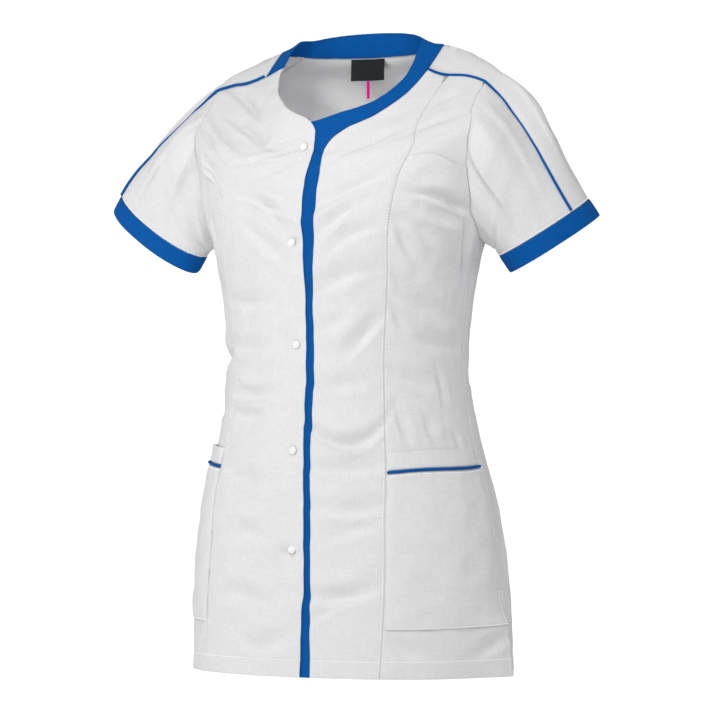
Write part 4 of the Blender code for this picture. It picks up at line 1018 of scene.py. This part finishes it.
# Cuffs
# A band of royal blue twill round each sleeve end, folded double and sewn on from outside.
for side in SLEEVES:
    spec = dict(zip(SLEEVE_COLUMNS, SLEEVES[side]))
    axis, up, forward = arm_frame(spec)
    turn = np.radians(np.linspace(0.0, 360.0, 145)[:-1])[:, None]
    ring = cuff_ring(spec, turn)
    outward = unit(up * np.cos(turn) / spec["half_up"] + forward * np.sin(turn) / spec["half_wide"])
    levels = (spread(CUFF_WIDTH, 0.0026) - 0.5) * CUFF_WIDTH
    swell = 0.0007 * np.clip(1 - (np.abs(levels) / (CUFF_WIDTH / 2)) ** 6, 0.0, 1.0)
    wave = 0.0005 * np.sin(3 * turn[:, 0] + 0.7) + 0.0003 * np.sin(7 * turn[:, 0])
    lift = swell[:, None] + wave[None, :] * np.linspace(0.0, 1.0, len(levels))[:, None]
    points = np.array(spec["centre"]) + ring[None] + axis * levels[:, None, None] + outward[None] * lift[..., None]
    facing = np.repeat(outward[None], len(levels), axis=0)
    edges = ("open", "open", "seam", "fold")
    piece = cloth(f"cuff_{side}_cloth", points, facing, edges, 0.0016, closed=True)
    sewn_on(piece, *BLUE, f"cuff_{side}")
    laid_out(np.concatenate([points, points[:, :1]], axis=1))

# Shoulder piping
# A thin cord wrapped in bias-cut blue twill, caught in the seam from the neck band to the cuff.
PIPING_RADIUS = 0.0017
PIPING_LIFT = {"left": 0.0005, "right": 0.0018}


def tube(name, points, radius, sides=10):
    """Round cord of mesh along a line of points, closed at both ends."""
    way = unit(np.gradient(points, axis=0))
    side = unit(np.cross(way, (0.0, 0.0, 1.0)))
    up = np.cross(side, way)
    turn = np.linspace(0.0, 2 * math.pi, sides + 1)[None, :, None]
    rings = points[:, None] + radius * (side[:, None] * np.cos(turn) + up[:, None] * np.sin(turn))
    run = run_of(points)
    count = len(points)
    number = np.arange(count * (sides + 1)).reshape(count, sides + 1)
    quads = np.stack([number[:-1, :-1], number[:-1, 1:], number[1:, 1:], number[1:, :-1]], -1).reshape(-1, 4)
    mesh = bpy.data.meshes.new(name)
    caps = [tuple(number[0, :-1][::-1]), tuple(number[-1, :-1])]
    mesh.from_pydata(rings.reshape(-1, 3).tolist(), [], quads.tolist() + [tuple(map(int, cap)) for cap in caps])
    chart = np.stack([np.repeat(run, sides + 1), np.tile(np.linspace(0, 2 * math.pi * radius, sides + 1), count)], -1)
    layer = mesh.uv_layers.new(name="thread")
    corners = np.array([v for face in mesh.polygons for v in face.vertices])
    layer.data.foreach_set("uv", chart[corners].ravel())
    piece = chosen(name, mesh)
    mend_mesh(True, True)
    bpy.ops.object.shade_smooth_by_angle(angle=math.radians(50))
    piece.select_set(False)
    return piece


for side, (points, normals) in sleeve_pieces.items():
    sign = SLEEVES[side][0]
    heights = np.linspace(NECK_T - 0.0015, TIP_T, 40)[:-1]
    ahead = sign * smooth(PIPING_LINE, heights)
    raised = relief(ahead, heights)[:, None] + PIPING_LIFT[side]
    shoulder = body(ahead, heights) + body_normal(ahead, heights) * raised
    path = np.concatenate([shoulder, points[:, 0] + normals[:, 0] * PIPING_LIFT[side]])
    gap = np.concatenate([[True], np.linalg.norm(np.diff(path, axis=0), axis=1) > 0.0008])
    sewn_on(tube(f"shoulder_piping_{side}_cord", path[gap], PIPING_RADIUS), *BLUE, f"shoulder_piping_{side}")

# Hip pockets
# A bag of white poplin laid on each side front and caught in the princess and side seams.
# Blue piping runs below its turned top band, and its lower edge is topstitched.
POCKETS = (("left", 0.345, 0.0024, 0.004), ("right", 0.345, 0.0030, -0.001))
POCKET_BOTTOM_T = 0.078
POCKET_BAND_T = 0.026
POCKET_PIPING_T = 0.0052
POCKET_PIPING_LIFT = 0.0005
POCKET_SIDE_ANGLE = 0.6
POCKET_HEM_STITCH = 0.0022
POCKET_TOP_STITCH = 0.0030
POCKET_FOLDS = (
    (46, 0.29, 0.026, 0.008, -0.62, -0.0045, 0.08), (42, 0.266, 0.02, 0.008, -0.58, -0.0029, 0.14),
    (45, 0.188, 0.028, 0.01, -0.61, -0.0029, 0.12), (81, 0.262, 0.03, 0.009, 10.72, -0.0022, 0.09),
    (66, 0.152, 0.038, 0.01, 0.37, -0.0022, 0), (-45, 0.21, 0.019, 0.005, 1.09, -0.0045, -0.19),
    (-44, 0.152, 0.02, 0.005, 0.84, -0.0045, 0.04), (-45, 0.104, 0.019, 0.005, 0.87, -0.0035, 0.13),
    (-49, 0.274, 0.018, 0.005, 0.81, -0.0032, -0.09), (-74, 0.15, 0.04, 0.012, -0.6, -0.0029, 0),
)


def climb_of(t):
    """Share of the way from the pocket's lower edge to its mouth."""
    return np.clip((t - POCKET_BOTTOM_T) / 0.26, 0.0, 1.0)


def pocket_cloth(sign, mouth_t, gape, rise, low, high, count, edges):
    """Points and normals of a stretch of the pocket between two heights."""
    table = PRINCESS_LEFT if sign > 0 else PRINCESS_RIGHT
    share = spread(0.125, 0.0032)[None, :]
    t = low + (high - low) * count[:, None]
    t = t + rise * share * np.clip((t - POCKET_BOTTOM_T) / 0.2, 0.0, 1.0)
    t = t + 0.0012 * climb_of(t) * np.sin(2 * math.pi * share - 0.6)
    start = smooth(table, t) + POCKET_SIDE_ANGLE
    angle = sign * (start * (1 - share) + (90.2 - 0.3 * POCKET_SIDE_ANGLE) * share)
    climb = np.clip((t - POCKET_BOTTOM_T) / (mouth_t - POCKET_BOTTOM_T), 0.0, 1.0) ** 2
    swell = gape * climb * np.sin(math.pi * share) ** 0.8
    gathers = 0.0006 * climb**6 * (0.35 + share) * np.sin(np.abs(angle) * 2.1 + 1.5 * np.sin(np.abs(angle) / 4.0))
    base = body(angle, t)
    normal = body_normal(angle, t)
    height = 0.35 * relief(angle, t) + folds(POCKET_FOLDS, angle, t, BODY_RADIUS, BODY_LENGTH)
    height = np.maximum(height, relief(angle, t) - 0.0002)
    inward = np.clip(np.minimum(share, 1 - share) * 0.125 / 0.006, 0.0, 1.0)
    own = ripple(angle + 40.0, t, BODY_RADIUS, BODY_LENGTH) + 0.0012
    height = height + 0.0013 + inward * own + swell + gathers + edge_relief(base, edges, 0.8)
    height = height + vent_flare(angle, t, sign)
    return base + normal * height[..., None], normal


for side, mouth_t, gape, rise in POCKETS:
    sign = SLEEVES[side][0]
    lower = mouth_t - POCKET_BAND_T
    bag_low, bag_high = POCKET_BOTTOM_T, lower - POCKET_PIPING_T
    count = spread(0.20, 0.0034)
    edges = ("seam", "seam", "stitched", "seam")
    bag, bag_facing = pocket_cloth(sign, mouth_t, gape, rise, bag_low, bag_high, count, edges)
    low = bag_low + (bag_high - bag_low) * count < VENT_STITCHED_T
    lines = (("bottom", POCKET_HEM_STITCH), ("top", POCKET_TOP_STITCH), ("right", VENT_STITCH, low))
    panel(f"pocket_{side}", bag, bag_facing, edges, lines, pitch=0.0030)
    count = spread(0.0215, 0.0026)
    edges = ("seam", "seam", "seam", "fold")
    top, top_facing = pocket_cloth(sign, mouth_t, gape, rise, lower, mouth_t, count, edges)
    panel(f"pocket_top_{side}", top, top_facing, edges, thick=0.0016)
    count = np.linspace(0.0, 1.0, 3)
    strip, out = pocket_cloth(sign, mouth_t, gape, rise, bag_high, lower, count, ("open",) * 4)
    piping = tube(f"pocket_piping_{side}_cord", strip[1] + out[1] * POCKET_PIPING_LIFT, PIPING_RADIUS)
    sewn_on(piping, *BLUE, f"pocket_piping_{side}")

# Label and ribbon
# A blank woven label in charcoal satin hangs from the back neck seam, folded double.
# A narrow pink satin ribbon is caught behind it and hangs below.
LABEL_TOP_T = 0.961
LABEL_X = -0.009
LABEL_HALF_WIDTH = 0.0238
LABEL_DROP = 0.0272
RIBBON_HALF_WIDTH = 0.002
RIBBON_DROP = (0.0275, 0.050)
LABEL_CLEAR = 0.0008


def satin(name, colour, darker, roughness, threads):
    """Smooth woven satin with fine lines along the threads."""
    made, shader, start = new_material(name, Specular_IOR_Level=0.12)
    chart = start.node("ShaderNodeUVMap", {"uv_map": "thread"})
    lines = start.waves(chart, threads, "Y", Distortion=0.4)
    patch = start.noise(chart, 120.0, 2.0)
    start.mix(lines * 0.4 + patch * 0.6, darker, colour).into(shader, "Base Color")
    (patch * 0.2 + (roughness - 0.1)).into(shader, "Roughness")
    start.bump(lines, 0.3, 0.0001).into(shader, "Normal")
    return made


def hung_from_neck(middle, half, low, high, columns, rows):
    """Grid of a flat strip that hangs just clear of the back."""
    x = middle + half * np.linspace(-1.0, 1.0, columns)
    top_t = np.full(x.shape, LABEL_TOP_T)
    edge = body(angle_at_x(x, top_t, 240.0, 120.0, 40), top_t)
    drop = np.linspace(high, low, rows)[:, None, None]
    return edge[None] - np.array((0.0, WALL + LABEL_CLEAR, 0.0)) - drop * np.array((0.0, 0.0, 1.0))


points = hung_from_neck(LABEL_X, LABEL_HALF_WIDTH, 0.0, LABEL_DROP, 25, 15)
share = np.linspace(-1.0, 1.0, 25)[None, :]
fall = np.linspace(1.0, 0.0, 15)[:, None]
curl = 0.0012 * fall * share**2 + 0.0007 * np.exp(-(((share - 0.6) / 0.05) ** 2)) * fall
points[..., 1] -= curl
facing = np.zeros_like(points)
facing[..., 1] = -1.0
charcoal = satin("label_satin", (0.022, 0.026, 0.030), (0.012, 0.014, 0.017), 0.5, 420.0)
label = sewn_on(cloth("label_cloth", points, facing, ("open",) * 4, 0.0006), charcoal, "label_charcoal", "label")
label_points = points

points = hung_from_neck(LABEL_X, RIBBON_HALF_WIDTH, RIBBON_DROP[0], RIBBON_DROP[1], 5, 19)
fall = np.linspace(1.0, 0.0, 19)[:, None]
points[..., 1] -= 0.0008 * np.sin(2.6 * fall)
points[..., 0] += 0.0007 * np.sin(2.2 * fall)
facing = np.zeros_like(points)
facing[..., 1] = -1.0
pink = satin("pink_satin", (0.86, 0.0005, 0.27), (0.70, 0.0003, 0.20), 0.45, 600.0)
ribbon = sewn_on(cloth("ribbon_cloth", points, facing, ("open",) * 4, 0.0005), pink, "ribbon_pink", "label_ribbon")
laid_out(label_points)

# Snaps
# Five pearl white press studs down the centre line, each a domed cap with a rolled rim.
# They are pressed through both layers of the right front.
SNAP_RADIUS = 0.0057
# The caps' emission is a painted glow that brightens them.
gloss_and_painted_glow = {"Roughness": 0.22, "Coat_Weight": 0.5, "Coat_Roughness": 0.12, "Emission_Strength": 0.06}
pearl, shader, start = new_material("snap_pearl_shell", **gloss_and_painted_glow)
shader.inputs["Emission Color"].default_value = (0.95, 0.95, 0.95, 1.0)
spot = start.node("ShaderNodeTexCoord", out=3)
cloud = start.noise(spot, 320.0, 3.0, Distortion=1.2)
# The cap's outer edge is darkened toward grey: painted shade, read from the third column of PROFILE.
painted_rim_shade = start.node("ShaderNodeAttribute", {"attribute_name": "painted_rim_shade"}, out=2)
pearly = start.mix(cloud, (0.84, 0.84, 0.85), (0.97, 0.97, 0.96))
start.mix(painted_rim_shade, pearly, (0.30, 0.31, 0.32)).into(shader, "Base Color")
# Cap's section: share of the radius, height and share of painted shade on its edge
PROFILE = (
    (0.02, 0.0021, 0.0), (0.30, 0.00205, 0.0), (0.48, 0.0019, 0.0), (0.55, 0.0017, 0.28), (0.62, 0.0018, 0.0),
    (0.78, 0.0017, 0.0), (0.86, 0.0015, 0.1), (0.92, 0.0013, 0.8), (1.0, 0.0009, 1.0), (0.97, 0.0004, 1.0),
    (0.84, 0.0, 1.0),
)
for number, height in enumerate(SNAP_HEIGHTS_T, start=1):
    up = Vector(body_normal(0.0, height))
    level = float(relief(np.array(0.0), np.array(height))) + FRONT_LAYER
    place = Vector(body(0.0, height)) + up * level
    side = up.cross(Vector((0.0, 0.0, 1.0))).normalized()
    other = up.cross(side)
    vertices, faces = [], []
    sides = 28
    for share, rise, _ in PROFILE:
        for k in range(sides):
            turn = 2 * math.pi * k / sides
            out = side * math.cos(turn) + other * math.sin(turn)
            vertices.append(place + out * share * SNAP_RADIUS + up * rise)
    for ring in range(len(PROFILE) - 1):
        for k in range(sides):
            n = (k + 1) % sides
            faces.append((ring * sides + k, ring * sides + n, (ring + 1) * sides + n, (ring + 1) * sides + k))
    faces.append(tuple(range(sides)))
    faces.append(tuple(range((len(PROFILE) - 1) * sides, len(PROFILE) * sides))[::-1])
    mesh = bpy.data.meshes.new(f"snap_cap_{number}")
    mesh.from_pydata([tuple(v) for v in vertices], [], faces)
    # share of painted shade at each ring of the cap
    painted_rim_shade_share = np.repeat([row[2] for row in PROFILE], sides)
    mesh.attributes.new("painted_rim_shade", "FLOAT", "POINT").data.foreach_set("value", painted_rim_shade_share)
    cap = chosen(f"snap_cap_{number}", mesh)
    mend_mesh(False, True)
    bpy.ops.object.shade_smooth_by_angle(angle=math.radians(40))
    cap.select_set(False)
    sewn_on(cap, pearl, "snap_pearl", f"snap_{number}")

# Floor, light and camera
# A plain pale floor where a wearer would stand, and soft boxes of light in front and at both sides.
# One weak lamp inside stands for light that passes through the cloth of the neck.
CAMERA_TURN = math.radians(30.0)
CAMERA_RISE = math.radians(1.3)
CAMERA_DISTANCE = 3.5
FLOOR_LEVEL = -1.42
FLOOR_RADIUS = 3.2
bpy.ops.object.select_all(action="DESELECT")
bpy.ops.mesh.primitive_circle_add(
    vertices=96, radius=FLOOR_RADIUS, fill_type="NGON", location=(0.0, 0.0, FLOOR_LEVEL)
)
floor = bpy.context.object
floor.name = "floor"
pale, shader, start = new_material("pale_floor", Roughness=0.85)
shader.inputs["Base Color"].default_value = (0.86, 0.86, 0.86, 1.0)
floor.data.materials.append(pale)


def aimed(name, data, place, at):
    """Lamp or camera at a place, turned to look at a point."""
    made = bpy.data.objects.new(name, data)
    bpy.context.scene.collection.objects.link(made)
    made.location = place
    made.rotation_euler = (place - at).to_track_quat("Z", "Y").to_euler()
    return made


to_right = Vector((math.cos(CAMERA_TURN), math.sin(CAMERA_TURN), 0.0))
backwards = Vector(
    (
        math.sin(CAMERA_TURN) * math.cos(CAMERA_RISE),
        -math.cos(CAMERA_TURN) * math.cos(CAMERA_RISE),
        math.sin(CAMERA_RISE),
    )
)
target = Vector((0.0, 0.0, -0.3625)) + to_right * 0.0125
camera_data = bpy.data.cameras.new("camera")
camera_data.lens = 140.0
camera_data.sensor_width = 36.0
bpy.context.scene.camera = aimed("camera", camera_data, target + backwards * CAMERA_DISTANCE, target)

for name, right, back, up, size, power in (
    ("key_box", -0.9, 1.5, 1.35, 0.8, 17.0),
    ("front_box", 0.5, 3.1, 0.75, 1.3, 26.0),
    ("right_rim", 2.6, -0.6, 0.3, 1.2, 6.0),
    ("left_box", -2.3, 0.1, -0.6, 1.2, 15.0),
):
    lamp = bpy.data.lights.new(name, "AREA")
    lamp.size = size
    lamp.energy = power
    aimed(name, lamp, target + to_right * right + backwards * back + Vector((0.0, 0.0, up)), target)

glow = bpy.data.lights.new("neck_glow", "AREA")
glow.size = 0.05
glow.energy = 0.05
aimed("neck_glow", glow, Vector((0.0, -0.025, -0.110)), Vector((0.0, 0.07, 0.0)))

world = bpy.data.worlds.new("studio")
bpy.context.scene.world = world
world.use_nodes = True
sky = Tone(world.node_tree)
seen = sky.node("ShaderNodeLightPath")
lit = sky.node("ShaderNodeBackground", None, {"Color": (1.0, 1.0, 1.0, 1.0), "Strength": 0.36})
bright = sky.node("ShaderNodeBackground", None, {"Color": (1.0, 1.0, 1.0, 1.0), "Strength": 1.1})
shown = sky.node("ShaderNodeMixShader", None, {0: seen, 1: lit, 2: bright})
world.node_tree.links.new(shown.socket, world.node_tree.nodes["World Output"].inputs["Surface"])
bpy.context.scene.view_settings.view_transform = "Standard"
